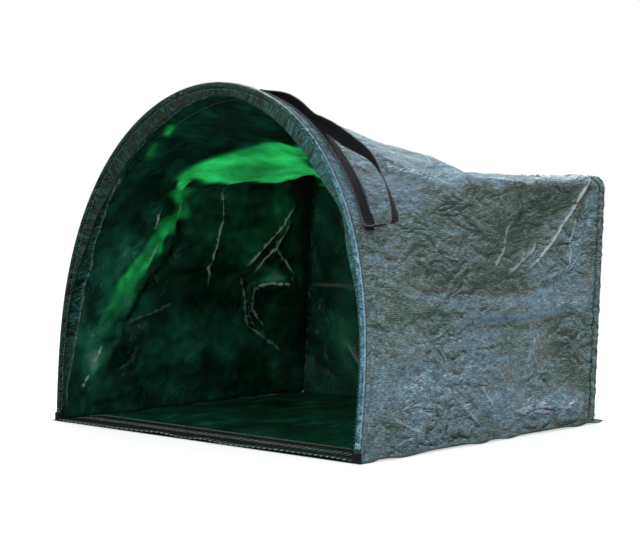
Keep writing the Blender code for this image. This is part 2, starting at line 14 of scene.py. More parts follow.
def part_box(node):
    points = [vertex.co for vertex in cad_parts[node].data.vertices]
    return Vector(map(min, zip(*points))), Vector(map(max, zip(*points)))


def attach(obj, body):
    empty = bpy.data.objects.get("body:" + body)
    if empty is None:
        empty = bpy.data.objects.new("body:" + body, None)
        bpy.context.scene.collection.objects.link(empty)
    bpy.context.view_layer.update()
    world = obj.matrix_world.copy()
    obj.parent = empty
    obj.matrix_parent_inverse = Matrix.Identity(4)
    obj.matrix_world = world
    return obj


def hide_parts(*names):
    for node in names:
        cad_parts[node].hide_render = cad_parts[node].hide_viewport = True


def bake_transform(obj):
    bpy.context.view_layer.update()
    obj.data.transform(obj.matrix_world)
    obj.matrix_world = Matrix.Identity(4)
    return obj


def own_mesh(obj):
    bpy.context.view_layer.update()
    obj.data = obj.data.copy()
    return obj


bl_info = {
    "name": "Pop up leaf bag",
    "version": (1, 0, 0),
    "blender": (4, 5, 0),
    "location": "View3D > Sidebar > Leaf bag",
    "description": "Dresses the packed model of a pop up leaf bag in cloth, webbing and thread",
    "category": "Object",
}

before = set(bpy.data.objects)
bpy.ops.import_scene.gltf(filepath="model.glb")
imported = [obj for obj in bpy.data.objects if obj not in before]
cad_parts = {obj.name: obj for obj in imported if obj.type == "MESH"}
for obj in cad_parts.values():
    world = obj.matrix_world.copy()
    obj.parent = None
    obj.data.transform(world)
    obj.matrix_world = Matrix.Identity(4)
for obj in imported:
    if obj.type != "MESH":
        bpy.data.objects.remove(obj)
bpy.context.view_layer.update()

# Sizes that the solids have
HOOP_SPAN = 0.698
HOOP_RISE = 0.567
HOOP_LEAN = math.radians(4.6)
BEND_SHARE = 0.76
BASE_DEPTH = 0.640
BACK_WIDTH = 0.690
BACK_HEIGHT = 0.424
BACK_LEAN = math.radians(3.8)
BACK_CORNER_RADIUS = 0.020
CLOTH = 0.0015
GAP = 0.0003
SEAM_ALLOWANCE = 0.009
ROOF_SAG = 0.016
WALL_DRAW = 0.010
SLEEVE_RADIUS = 0.0048
WRAP_START = 0.0051
PIVOT_HEIGHT = 0.0068
HOOP_Y = -0.3145
BACK_Y = 0.298
HEM_LEVEL = 0.00255
HANDLE_START = 0.080
HANDLE_END = 0.412
HANDLE_SETBACK = 0.017
HANDLE_STANDOFF = 0.054
HANDLE_TWIST = math.radians(24.0)
HANDLE_FALL = {"left": math.radians(55.0), "right": 0.0}
WEBBING_WIDTH = 0.025
WEBBING_THICKNESS = 0.0015
SEWN_GAP = 0.0006
CURVE_SAMPLES = 400
LOOP_PATH_SHARES = (
    (0.00, 0.00), (0.07, 0.00), (0.16, 0.04), (0.28, 0.18), (0.42, 0.46),
    (0.57, 0.74), (0.72, 0.94), (0.86, 1.00), (0.97, 0.99), (1.01, 0.93),
    (1.01, 0.80), (1.00, 0.45), (0.99, 0.12), (0.97, 0.02), (0.92, 0.00),
)

MM = 0.001
UP = np.array((0.0, 0.0, 1.0))
BACKWARDS = np.array((0.0, 1.0, 0.0))
BAG_MIDDLE = np.array((0.0, 0.0, 0.2))

# The sheet parts into its two pieces on a plane through the fold's line
HEM_SPLIT = math.tan(math.radians(7.5))

# Rear edge of the lip, where it is sewn over the floor
LIP_REAR_RISE = 0.0040
LIP_REAR_TAPER = 0.040

# How far the loosest tape of a weave strays
LOOSEST_TAPE = 0.004


def ripple(x, height, size, swing, drift):
    """A wave along x whose crests lie about 6 sizes apart and come closer and wider by swing over each drift."""
    return height * np.sin(x / size + swing * np.sin(x / drift))


def along(points, shares):
    """Points at shares of the length of a chain of points."""
    steps = np.linalg.norm(np.diff(points, axis=0), axis=1)
    reach = np.concatenate([[0.0], np.cumsum(steps)])
    places = np.asarray(shares) * reach[-1]
    return np.stack([np.interp(places, reach, points[:, i]) for i in range(points.shape[1])], axis=-1)


def smooth(t):
    t = np.clip(t, 0.0, 1.0)
    return t * t * (3 - 2 * t)


def unit(vectors):
    return vectors / np.maximum(np.linalg.norm(vectors, axis=-1, keepdims=True), 1.0e-12)


def bent_half(stiffness):
    """Half of a bent rod of rise 1, from its crown to its feet, as rows of x, height, turn and length."""
    step = 1.0 / CURVE_SAMPLES
    x, height, turn, length = 0.0, 1.0, 0.0, 0.0
    rows = [(x, height, turn, length)]
    while height > 0.0:
        bend = stiffness * height**BEND_SHARE * step
        x += math.cos(turn + bend / 2) * step
        height -= math.sin(turn + bend / 2) * step
        turn += bend
        length += step
        rows.append((x, height, turn, length))
    rows = np.array(rows)
    rows[-1] = rows[-2] + (rows[-1] - rows[-2]) * rows[-2, 1] / (rows[-2, 1] - rows[-1, 1])
    return rows


def bent_rod():
    wanted = HOOP_SPAN / 2 / HOOP_RISE
    low, high = 1.0, 3.0
    while high - low > 1.0e-9:
        middle = (low + high) / 2
        if bent_half(middle)[-1][0] > wanted:
            low = middle
        else:
            high = middle
    rows = bent_half(high)
    rows[:, (0, 1, 3)] *= HOOP_RISE
    return rows


HOOP = bent_rod()
HALF_LENGTH = HOOP[-1, 3]


def hoop_at(distance):
    """x, rise and turn of the rod's line at distances from the crown, negative to the left."""
    distance = np.asarray(distance, float)
    side = np.where(distance < 0, -1.0, 1.0)
    x, rise, turn = (np.interp(np.abs(distance), HOOP[:, 3], HOOP[:, i]) for i in (0, 1, 2))
    return side * x, rise, side * turn


def hoop_place(x, rise, back=0.0):
    """World points of the hoop's leaning plane, with back measured square to it."""
    x, rise, back = np.broadcast_arrays(x, rise, back)
    y = HOOP_Y + rise * math.sin(HOOP_LEAN) + back * math.cos(HOOP_LEAN)
    z = PIVOT_HEIGHT + rise * math.cos(HOOP_LEAN) - back * math.sin(HOOP_LEAN)
    return np.stack([x, y, z], axis=-1)


def back_place(x, height, behind=0.0):
    """World points of the leaning back, with behind measured square to it."""
    x, height, behind = np.broadcast_arrays(x, height, behind)
    y = BACK_Y + height * math.tan(BACK_LEAN) + behind / math.cos(BACK_LEAN)
    return np.stack([x, y, height], axis=-1)


def front_outline():
    offset = SLEEVE_RADIUS - CLOTH / 2
    foot = (HEM_LEVEL - PIVOT_HEIGHT) / math.cos(HOOP_LEAN) + WRAP_START * math.tan(HOOP_LEAN)
    right = [(x + offset * math.sin(turn), rise + offset * math.cos(turn)) for x, rise, turn, _ in HOOP]
    right.append((right[-1][0], foot))
    return np.array([(-x, rise) for x, rise in reversed(right[1:])] + right)


def back_outline():
    half = BACK_WIDTH / 2 - CLOTH / 2
    top = BACK_HEIGHT - CLOTH / 2
    radius = BACK_CORNER_RADIUS
    angles = math.pi / 2 * (1 - np.arange(CURVE_SAMPLES + 1) / CURVE_SAMPLES)
    right = np.stack([half - radius + radius * np.cos(angles), top - radius + radius * np.sin(angles)], axis=-1)
    right = np.concatenate([right, [(half, HEM_LEVEL)]])
    return np.concatenate([right[::-1] * (-1, 1), right])


FRONT_OUTLINE = front_outline()
BACK_OUTLINE = back_outline()
WALL_LENGTH = BACK_HEIGHT - HEM_LEVEL - BACK_CORNER_RADIUS
RIDGE_END = (WALL_LENGTH + math.pi / 2 * BACK_CORNER_RADIUS) / (
    2 * WALL_LENGTH + BACK_WIDTH - 2 * BACK_CORNER_RADIUS + math.pi * BACK_CORNER_RADIUS
)
AROUND_LENGTH = float(np.linalg.norm(np.diff(FRONT_OUTLINE, axis=0), axis=1).sum())
DEEP_LENGTH = BACK_Y - HOOP_Y - WRAP_START


def wrap_base(around, deep):
    """Smooth middle of the sheet: around from the left hem to the right one, deep from the mouth to the back."""
    around, deep = np.broadcast_arrays(np.asarray(around, float), np.asarray(deep, float))
    front = along(FRONT_OUTLINE, around)
    rear = along(BACK_OUTLINE, around)
    front = hoop_place(front[..., 0], front[..., 1], WRAP_START)
    rear = back_place(rear[..., 0], rear[..., 1])
    point = front + (rear - front) * deep[..., None]
    slack = 4 * deep * (1 - deep)
    up_wall = np.minimum(1.0, np.minimum(around, 1.0 - around) / RIDGE_END)
    side = np.where(around < 0.5, -1.0, 1.0)
    point[..., 2] -= ROOF_SAG * slack * up_wall**2
    point[..., 0] -= np.where(up_wall < 1.0, side * WALL_DRAW * slack * np.sin(math.pi * up_wall), 0.0)
    return point


def wrap_out(around, deep):
    """Outward directions of the smooth sheet."""
    step = 1.0 / CURVE_SAMPLES
    across = wrap_base(np.minimum(around + step, 1.0), deep) - wrap_base(np.maximum(around - step, 0.0), deep)
    inward = wrap_base(around, np.minimum(deep + step, 1.0)) - wrap_base(around, np.maximum(deep - step, 0.0))
    return unit(np.cross(across, inward))


# Main folds of the walls and the roof, as the solid has them: height, half width and places (share round the
# sheet, share of its depth). Below zero they go into the bag.
MAIN_FOLDS = (
    # Right wall: ridge from the rear top corner, the hollow before it, the ridge along the roof's edge
    (0.010, 0.024, ((0.715, 0.980), (0.750, 0.871), (0.792, 0.755), (0.823, 0.652))),
    (-0.015, 0.034, ((0.732, 0.880), (0.752, 0.765), (0.776, 0.650))),
    (0.011, 0.022, ((0.715, 0.980), (0.716, 0.800), (0.722, 0.700), (0.707, 0.489))),
    # Right wall: the long level fold half way up, a short one below it, the rear corner and the foot
    (0.011, 0.022, ((0.860, 0.350), (0.862, 0.600), (0.862, 0.750), (0.850, 0.930))),
    (-0.005, 0.022, ((0.894, 0.350), (0.886, 0.500), (0.885, 0.750), (0.874, 0.930))),
    (-0.003, 0.022, ((0.924, 0.130), (0.922, 0.300), (0.924, 0.640))),
    (-0.004, 0.024, ((0.890, 0.920), (0.922, 0.819))),
    (0.008, 0.020, ((0.966, 0.520), (0.972, 0.700), (0.976, 0.930))),
    # Roof
    (0.007, 0.024, ((0.670, 0.220), (0.696, 0.308), (0.722, 0.390))),
    (0.008, 0.030, ((0.603, 0.560), (0.667, 0.477), (0.711, 0.465))),
    (-0.008, 0.032, ((0.580, 0.840), (0.630, 0.700), (0.660, 0.600))),
    (0.008, 0.032, ((0.300, 0.930), (0.330, 0.760), (0.390, 0.600))),
    (-0.006, 0.030, ((0.440, 0.200), (0.455, 0.480), (0.480, 0.760))),
    # Left wall: the step that runs down from the roof, the creases by the rear corner, a level fold
    (0.010, 0.028, ((0.296, 0.370), (0.209, 0.400), (0.170, 0.350), (0.105, 0.240))),
    (-0.010, 0.024, ((0.245, 0.890), (0.205, 0.768), (0.176, 0.692))),
    (-0.008, 0.024, ((0.144, 0.730), (0.150, 0.813), (0.141, 0.920))),
    (0.007, 0.024, ((0.120, 0.420), (0.118, 0.560), (0.100, 0.720))),
)
FOLD_FADE = 0.040
DENT_HEIGHT = 0.003
DENT_LENGTH = 0.250
BINDING_WIDTH = 0.012

# Distance in millimetres where no crease is near, and how far its whitening, partly a painted highlight, reaches at
# most
FAR_FROM_CREASE = 30.0
WHITENED_REACH = 0.008

# Sharp creases on the main folds: height and the widths to both sides in millimetres, whitening from 0 to 1 (partly
# stress whitening, partly painted highlights), then places. The first width is to the left of the path's direction,
# where around is to the right and deep is up.
CREASES = (
    (5, 16, 4, 0.9, ((0.713, 0.985), (0.732, 0.913), (0.750, 0.871), (0.771, 0.805), (0.792, 0.755), (0.823, 0.652))),
    (4, 5, 12, 0.7, ((0.713, 0.985), (0.703, 0.921), (0.716, 0.756), (0.722, 0.698), (0.719, 0.648), (0.710, 0.585),
                     (0.707, 0.489))),
    (-7, 22, 26, 0.0, ((0.745, 0.720), (0.765, 0.640), (0.795, 0.560), (0.812, 0.500))),
    (3, 5, 5, 0.5, ((0.755, 0.653), (0.773, 0.627), (0.798, 0.579), (0.820, 0.518))),
    (3, 5, 4, 0.5, ((0.785, 0.720), (0.797, 0.697), (0.823, 0.585))),
    (3, 4, 4, 0.6, ((0.761, 0.877), (0.785, 0.865), (0.806, 0.858), (0.827, 0.845))),
    (-4, 5, 5, 0.0, ((0.754, 0.985), (0.769, 0.939), (0.785, 0.915), (0.792, 0.856), (0.809, 0.850))),
    (-6, 7, 6, 0.0, ((0.775, 0.944), (0.808, 0.923), (0.824, 0.874), (0.839, 0.811), (0.846, 0.771))),
    (-6, 7, 9, 0.0, ((0.888, 0.350), (0.884, 0.394), (0.878, 0.490), (0.877, 0.639), (0.878, 0.750), (0.870, 0.837),
                     (0.863, 0.932))),
    (-5, 7, 9, 0.0, ((0.918, 0.380), (0.914, 0.470), (0.912, 0.577), (0.911, 0.640), (0.913, 0.680))),
    (3, 4, 4, 0.4, ((0.891, 0.729), (0.903, 0.708), (0.914, 0.690), (0.926, 0.677))),
    (-6, 6, 7, 0.0, ((0.980, 0.540), (0.982, 0.620), (0.983, 0.690), (0.986, 0.826), (0.990, 0.930))),
    (4, 6, 5, 0.6, ((0.974, 0.560), (0.972, 0.640), (0.974, 0.760), (0.980, 0.900))),
    (3, 6, 5, 0.5, ((0.956, 0.387), (0.971, 0.432), (0.990, 0.494))),
    (3, 6, 5, 0.5, ((0.942, 0.482), (0.965, 0.513))),
    (3, 9, 8, 0.1, ((0.850, 0.066), (0.879, 0.062), (0.919, 0.066), (0.940, 0.064))),
    (-5, 8, 8, 0.0, ((0.925, 0.120), (0.923, 0.219), (0.921, 0.300))),
    (-5, 8, 8, 0.0, ((0.949, 0.200), (0.947, 0.334))),
    (-4, 9, 9, 0.0, ((0.914, 0.323), (0.911, 0.400), (0.911, 0.473))),
    (3, 5, 5, 0.5, ((0.959, 0.092), (0.967, 0.137), (0.985, 0.250))),
    (3, 5, 5, 0.7, ((0.670, 0.220), (0.678, 0.247), (0.696, 0.308), (0.707, 0.348), (0.722, 0.390))),
    (2, 6, 8, 0.7, ((0.603, 0.560), (0.635, 0.505), (0.667, 0.477), (0.711, 0.465))),
    (-12, 28, 28, 0.0, ((0.560, 0.600), (0.603, 0.560), (0.635, 0.505), (0.667, 0.477))),
    (-4, 12, 10, 0.0, ((0.824, 0.150), (0.820, 0.220), (0.817, 0.290))),
    (-4, 10, 10, 0.0, ((0.826, 0.360), (0.828, 0.400), (0.832, 0.460))),
    (-5, 12, 7, 1.0, ((0.250, 0.900), (0.245, 0.890), (0.222, 0.823), (0.205, 0.768), (0.176, 0.692), (0.170, 0.670))),
    (-5, 7, 12, 1.0, ((0.230, 0.880), (0.224, 0.865), (0.191, 0.802), (0.164, 0.734), (0.158, 0.720))),
    (-4, 8, 8, 0.9, ((0.195, 0.800), (0.189, 0.813), (0.171, 0.876), (0.147, 0.923))),
    (-6, 16, 5, 1.0, ((0.144, 0.725), (0.144, 0.739), (0.145, 0.813), (0.141, 0.900))),
    (-4, 5, 5, 0.4, ((0.160, 0.660), (0.155, 0.668), (0.091, 0.724), (0.051, 0.895))),
    (-4, 5, 5, 0.4, ((0.153, 0.727), (0.113, 0.731), (0.086, 0.795))),
    (6, 8, 9, 0.0, ((0.141, 0.253), (0.163, 0.334), (0.167, 0.490), (0.170, 0.540), (0.172, 0.645))),
    (-3, 9, 7, 0.8, ((0.315, 0.500), (0.262, 0.556), (0.234, 0.560), (0.205, 0.547), (0.173, 0.526), (0.143, 0.537))),
    (-7, 5, 12, 0.0, ((0.300, 0.334), (0.262, 0.350), (0.209, 0.358), (0.184, 0.345), (0.145, 0.255), (0.133, 0.223),
                      (0.111, 0.215), (0.075, 0.179), (0.043, 0.134))),
    (-4, 7, 7, 0.0, ((0.420, 0.200), (0.440, 0.420), (0.450, 0.700))),
    (-4, 8, 8, 0.0, ((0.560, 0.150), (0.545, 0.400), (0.540, 0.760))),
    (4, 6, 6, 0.4, ((0.350, 0.300), (0.370, 0.520), (0.360, 0.800))),
    (-4, 9, 9, 0.0, ((0.590, 0.820), (0.630, 0.700), (0.650, 0.560))),
    # Short folds of the left wall whose edges get painted glints
    (-3, 5, 4, 1.0, ((0.172, 0.272), (0.191, 0.288), (0.207, 0.306))),
    (-3, 4, 5, 1.0, ((0.222, 0.280), (0.235, 0.286), (0.250, 0.290))),
    (2, 4, 4, 0.9, ((0.238, 0.378), (0.262, 0.387))),
    (2, 4, 3, 0.9, ((0.162, 0.052), (0.180, 0.066))),
    (2, 4, 4, 0.7, ((0.225, 0.064), (0.250, 0.061), (0.290, 0.070))),
    (2, 4, 4, 0.6, ((0.120, 0.045), (0.150, 0.052))),
    (-2, 4, 4, 0.8, ((0.062, 0.112), (0.080, 0.134))),
    (2, 4, 4, 0.6, ((0.034, 0.080), (0.047, 0.102))),
    (-3, 5, 6, 0.1, ((0.104, 0.225), (0.114, 0.300), (0.120, 0.352), (0.131, 0.422))),
)

# Crumple of the sheet: size of a crease's loop, its height, stretch into the bag, turn and seed
CRUMPLES = ((0.095, 0.0050, 1.8, 0.35, 3), (0.050, 0.0034, 1.7, -0.25, 5), (0.024, 0.0015, 1.4, 0.60, 8))


# Puckers by the back seam and by the hem's stitches, as a ripple's height, size, swing and drift
BACK_PUCKER = (0.0012, 0.0031, 2.4, 0.013)
HEM_PUCKER = (0.0007, 0.0026, 3, 0.017)
HEM_SEAM = 0.028
FOOT_FADE = 0.027
# Height of the folds under the handles' strips, and how much more they may have behind them
UNDER_STRIP = 0.0007
HIGHEST_FOLD = 0.020


def to_sheet(place):
    return np.array(place) * (AROUND_LENGTH, DEEP_LENGTH)


def path_distance(x, y, path):
    """Distance to a path on the flat sheet, its side and the share of the path's length."""
    nearest = np.full(x.shape, np.inf)
    side = np.zeros(x.shape)
    share = np.zeros(x.shape)
    lengths = np.linalg.norm(np.diff(path, axis=0), axis=1)
    passed = 0.0
    for (ax, ay), (bx, by), length in zip(path, path[1:], lengths):
        run = ((bx - ax) / length, (by - ay) / length)
        down = np.clip((x - ax) * run[0] + (y - ay) * run[1], 0.0, length)
        gap = np.hypot(x - ax - run[0] * down, y - ay - run[1] * down)
        closer = gap < nearest
        nearest = np.where(closer, gap, nearest)
        side = np.where(closer, np.sign(run[0] * (y - ay) - run[1] * (x - ax)), side)
        share = np.where(closer, (passed + down) / lengths.sum(), share)
        passed += length
    return nearest, side, share


def near_path(x, y, path, reach):
    """How near each place is to a path: 1 on it, and close to 0 from two reaches away."""
    return np.exp(-((path_distance(x, y, to_sheet(path))[0] / reach) ** 2))


def slope_noise(x, y, size, seed):
    """Smooth noise from about -0.7 to 0.7 that crosses zero about every size metres."""
    cells = 64
    angles = np.random.default_rng(seed).random((cells, cells)) * 2 * math.pi
    x, y = x / size, y / size
    i, j = np.floor(x).astype(int), np.floor(y).astype(int)
    x, y = x - i, y - j
    total = 0.0
    for a in (0, 1):
        for b in (0, 1):
            angle = angles[(i + a) % cells, (j + b) % cells]
            share = (smooth(x) if a else 1 - smooth(x)) * (smooth(y) if b else 1 - smooth(y))
            total = total + share * ((x - a) * np.cos(angle) + (y - b) * np.sin(angle))
    return total * 1.4


def crumple(x, y, layers):
    """Height of crushed cloth: sharp ridges and valleys that wander and cross."""
    height = np.zeros(np.shape(x))
    for size, rise, stretch, turn, seed in layers:
        across = x * math.cos(turn) - y / stretch * math.sin(turn)
        down = x * math.sin(turn) + y / stretch * math.cos(turn)
        bent = across + 0.3 * size * slope_noise(across, down, size * 1.3, seed + 20)
        height += rise * (np.abs(slope_noise(bent, down, size, seed))
                          - np.abs(slope_noise(bent + size / 2, down, size, seed + 10)))
    return height


def main_fold_height(around, deep):
    """The folds and soft dents that the solid has."""
    x, y = around * AROUND_LENGTH, deep * DEEP_LENGTH
    wave_x, wave_y = 2 * math.pi * x / DENT_LENGTH, 2 * math.pi * y / DENT_LENGTH
    height = DENT_HEIGHT * np.sin(wave_x + np.sin(wave_y)) * np.cos(wave_y - wave_x / 2)
    for crest, half_width, path in MAIN_FOLDS:
        height += crest * near_path(x, y, path, half_width)
    height *= smooth((y - HANDLE_SETBACK - WEBBING_WIDTH) / FOLD_FADE)
    height *= smooth((DEEP_LENGTH - BINDING_WIDTH - y) / FOLD_FADE)
    return height * smooth(np.minimum(x, AROUND_LENGTH - x) / FOLD_FADE)


# Painted sky reflection above zero and painted shade below it, where the outer side gets more or less than its slope
# says: shift, half width in millimetres and places
PAINTED_SKY_AND_SHADE = (
    (-0.39, 42, ((0.739, 0.858), (0.757, 0.732), (0.790, 0.626), (0.812, 0.560))),
    (0.20, 9, ((0.857, 0.560), (0.858, 0.760), (0.858, 0.964))),
    (0.17, 12, ((0.806, 0.052), (0.812, 0.148), (0.818, 0.246))),
    (0.10, 16, ((0.895, 0.132), (0.898, 0.182))),
    (0.09, 30, ((0.942, 0.056), (0.939, 0.260), (0.939, 0.430))),
    (0.13, 13, ((0.892, 0.216), (0.888, 0.386), (0.888, 0.560))),
    (-0.17, 30, ((0.900, 0.832), (0.952, 0.956))),
    (-0.22, 22, ((0.820, 0.200), (0.822, 0.308), (0.833, 0.450), (0.840, 0.640))),
    (-0.14, 7, ((0.880, 0.406), (0.876, 0.648), (0.874, 0.828))),
    (0.12, 12, ((0.845, 0.250), (0.850, 0.346))),
    (0.20, 22, ((0.756, 0.955), (0.785, 0.915), (0.812, 0.880))),
    (0.75, 17, ((0.692, 0.675), (0.703, 0.715), (0.712, 0.760), (0.716, 0.830), (0.713, 0.930))),
    (0.45, 4, ((0.683, 0.230), (0.695, 0.290), (0.721, 0.374))),
    (0.16, 12, ((0.978, 0.540), (0.972, 0.744), (0.979, 0.984))),
)

# The same for the inner side of the sheet: painted light on lit facets, and painted shade in deep folds and in the
# corner
INNER_PAINTED_LIGHT_AND_SHADE = (
    (-0.55, 6, ((0.142, 0.260), (0.162, 0.394), (0.167, 0.512), (0.168, 0.642))),
    (-0.30, 14, ((0.265, 0.960), (0.119, 0.985), (0.040, 0.990))),
    (-0.40, 12, ((0.128, 0.760), (0.126, 0.840), (0.120, 0.930))),
    (-0.35, 7, ((0.300, 0.334), (0.209, 0.400), (0.176, 0.330), (0.145, 0.275), (0.111, 0.235))),
    (-0.30, 8, ((0.155, 0.668), (0.120, 0.705), (0.091, 0.740))),
    (0.40, 11, ((0.168, 0.745), (0.158, 0.840))),
    (0.42, 7, ((0.150, 0.750), (0.151, 0.860))),
    (0.26, 30, ((0.190, 0.200), (0.120, 0.140), (0.060, 0.110))),
    (0.16, 30, ((0.270, 0.480), (0.262, 0.700), (0.255, 0.850))),
    (0.10, 30, ((0.060, 0.400), (0.070, 0.700))),
)


# Outer side: painted sky of a plain wall, what a fold's slope adds as painted reflection and shade, and both ends of
# the range
WALL_TINT = 0.235
FOLD_TINT = 0.6
DARKEST = 0.12
PALEST = 0.92
# Where its painted sky changes: shares round the sheet of the wall's low part and of the shoulder, which climbs towards
# the back, the upward part of a roof's normal, and how deep the mouth's painted lighter edge reaches
LOW_WALL = 0.140
SHOULDER = 0.232
SHOULDER_RISE = 0.075
ROOF_SLOPE = 0.70
MOUTH_DEEP = 0.12
# The outer film keeps most of its own colour where the painted glow lets light through, and the inner one glows
OUTER_PAINTED_GLOW = 0.32
LEAST_PAINTED_GLOW = 0.02
MOST_PAINTED_GLOW = 0.94
# The lit part of the roof, as shares round the sheet and of its depth, and a dim path across it
LIT_ROOF_LEFT = 0.290
LIT_ROOF_RIGHT = 0.66
LIT_ROOF_FRONT = ((0.300, 0.270), (0.330, 0.300), (0.378, 0.355), (0.422, 0.385), (0.442, 0.450))
DIM_PATH = ((0.400, 0.640), (0.385, 0.720), (0.375, 0.820))
# The lit band down the left wall, and the spots by the crown: share of the light, reach and places
LIT_BAND = ((0.293, 0.314), (0.270, 0.370), (0.248, 0.382), (0.222, 0.324), (0.196, 0.282), (0.155, 0.206),
            (0.131, 0.174), (0.108, 0.146), (0.076, 0.126))
LIT_SPOTS = ((1.0, 0.010, ((0.381, 0.100), (0.370, 0.108))), (0.8, 0.013, ((0.343, 0.105), (0.332, 0.114))))


def facets(x, y, size, seed):
    """Patches from -0.5 to 0.5 that meet at fairly hard edges, as the facets of folded film do."""
    return smooth(0.5 + 4.5 * slope_noise(x, y, size, seed)) - 0.5


# Painted light and shade in the inner side's colour: hard edged patches as lit facets, a random tone, and the listed
# light and shade
def inner_painted_light(around, deep):
    x, y = around * AROUND_LENGTH, deep * DEEP_LENGTH
    tint = 0.20 + 0.10 * facets(x, y, 0.080, 65) + 0.09 * facets(x, y / 1.5, 0.030, 67)
    tint = tint + 0.10 * slope_noise(x, y, 0.016, 69)
    for shift, half_width, path in INNER_PAINTED_LIGHT_AND_SHADE:
        tint = tint + shift * near_path(x, y, path, half_width * MM)
    return np.clip(tint, 0.0, 1.0)


def painted_sky_share(around, deep, normal_z, smooth_z):
    """How much sky reflection is painted into the outer film's colour: painted shade under an overhang, more sky low
    down and over the shoulders.
    """
    up_wall = np.minimum(around, 1 - around)
    low = smooth((LOW_WALL - up_wall) / 0.080) * (1 - 0.6 * smooth((deep - 0.35) / 0.4))
    shoulder = smooth((up_wall - SHOULDER - SHOULDER_RISE * deep) / 0.030 + 0.5)
    roof = smooth((smooth_z - ROOF_SLOPE) / 0.25)
    mouth = smooth((MOUTH_DEEP - deep) / 0.08)
    x, y = around * AROUND_LENGTH, deep * DEEP_LENGTH
    drift = 0.07 * slope_noise(x, y / 2.2, 0.110, 61) + 0.10 * slope_noise(x, y / 2.0, 0.040, 63)
    flat = WALL_TINT + 0.13 * low + 0.24 * shoulder + 0.20 * roof + 0.06 * mouth + drift
    for shift, half_width, path in PAINTED_SKY_AND_SHADE:
        flat = flat + shift * near_path(x, y, path, half_width * MM)
    return np.clip(flat + FOLD_TINT * (normal_z - smooth_z), DARKEST, PALEST)


def facing_painted_sky(normals):
    """The same painted sky reflection and shade for a small piece, from its own normals: paler where it faces up."""
    return 0.30 + 0.45 * normals[..., 2]


def crease_share(around, deep):
    """Height of the sharp creases, how far each place is whitened by one (partly stress whitening, partly painted
    highlights), and its signed distance from that one in millimetres. The material draws the white line from the last
    two, finer than the mesh is."""
    x, y = around * AROUND_LENGTH, deep * DEEP_LENGTH
    height, white = np.zeros(x.shape), np.zeros(x.shape)
    nearest = np.full(x.shape, FAR_FROM_CREASE)
    for crest, left, right, whitening, path in CREASES:
        gap, side, share = path_distance(x, y, to_sheet(path))
        width = np.where(side > 0, left, right) * MM
        taper = smooth(share / 0.14) * smooth((1 - share) / 0.16)
        height += crest * MM * taper * np.exp(-((gap / width) ** 1.35))
        if whitening:
            nearer = gap / MM < np.abs(nearest)
            nearest = np.where(nearer, side * gap / MM, nearest)
            white = np.where(nearer, whitening * taper * smooth(2 - gap / WHITENED_REACH), white)
    return height, white, nearest


def fold_height(around, deep):
    """How far the folded sheet stands out of the smooth one."""
    x, y = around * AROUND_LENGTH, deep * DEEP_LENGTH
    height = crease_share(around, deep)[0] + crumple(x, y, CRUMPLES)
    height *= (0.25 + 0.75 * smooth((y - 0.030) / 0.045)) * smooth(y / 0.010) * smooth((DEEP_LENGTH - y) / 0.022)
    height *= 1 - 0.45 * smooth((np.minimum(around, 1 - around) - 0.30) / 0.05)
    seam = ripple(x, *BACK_PUCKER) * smooth((deep - 0.93) / 0.05)
    pucker = ripple(x, *HEM_PUCKER) * np.exp(-(((y - HEM_SEAM) / 0.010) ** 2))
    foot = smooth(np.minimum(x, AROUND_LENGTH - x) / FOOT_FADE)
    # Where the handles' strips are sewn on, the sheet stays under them
    most = UNDER_STRIP + HIGHEST_FOLD * smooth((y - HANDLE_SETBACK - WEBBING_WIDTH) / 0.030)
    return np.minimum(main_fold_height(around, deep) + (height + pucker + seam) * foot, most)


def wrap_skin(around, deep, lift=0.0):
    """Points of the creased sheet, lifted off it outwards."""
    around, deep = np.broadcast_arrays(np.asarray(around, float), np.asarray(deep, float))
    return wrap_base(around, deep) + wrap_out(around, deep) * (fold_height(around, deep) + lift)[..., None]


def seam_wave(y, side):
    """Height and reach of the loose seam allowance along the floor at both sides."""
    rise = 0.0022 * (1 + np.sin(y / 0.021 + side + 1.7 * np.sin(y / 0.047))) * smooth((0.30 - np.abs(y)) / 0.03)
    reach = 0.0018 * np.sin(y / 0.033 + 2 * side)
    return rise, reach


def split_share(around):
    """How deep the sheet's front band reaches: to a plane through the fold, 7.5 degrees behind the hoop."""
    low, high = np.zeros(np.shape(around)), np.full(np.shape(around), 0.3)
    for _ in range(24):
        middle = (low + high) / 2
        point = wrap_base(around, middle)
        y, z = point[..., 1] - HOOP_Y, point[..., 2] - PIVOT_HEIGHT
        back = y * math.cos(HOOP_LEAN) - z * math.sin(HOOP_LEAN)
        rise = y * math.sin(HOOP_LEAN) + z * math.cos(HOOP_LEAN)
        behind = back > rise * HEM_SPLIT
        low, high = np.where(behind, low, middle), np.where(behind, middle, high)
    return np.maximum(high, 0.006)


# Meshes


def sheet_faces(rows, columns):
    i, j = np.meshgrid(np.arange(rows - 1), np.arange(columns - 1), indexing="ij")
    a = (i * columns + j).ravel()
    return np.stack([a, a + 1, a + columns + 1, a + columns], axis=-1)


def flat_grid(across, down):
    """Flat places of a grid from the distances of its columns and of its rows."""
    return np.stack(np.broadcast_arrays(across, down[:, None]), axis=-1)


def grid_out(points):
    down, right = np.gradient(points, axis=0), np.gradient(points, axis=1)
    return unit(np.cross(right, down))


def new_object(name, mesh, materials):
    for material in materials:
        mesh.materials.append(material)
    thing = bpy.data.objects.new(name, mesh)
    bpy.context.scene.collection.objects.link(thing)
    return thing


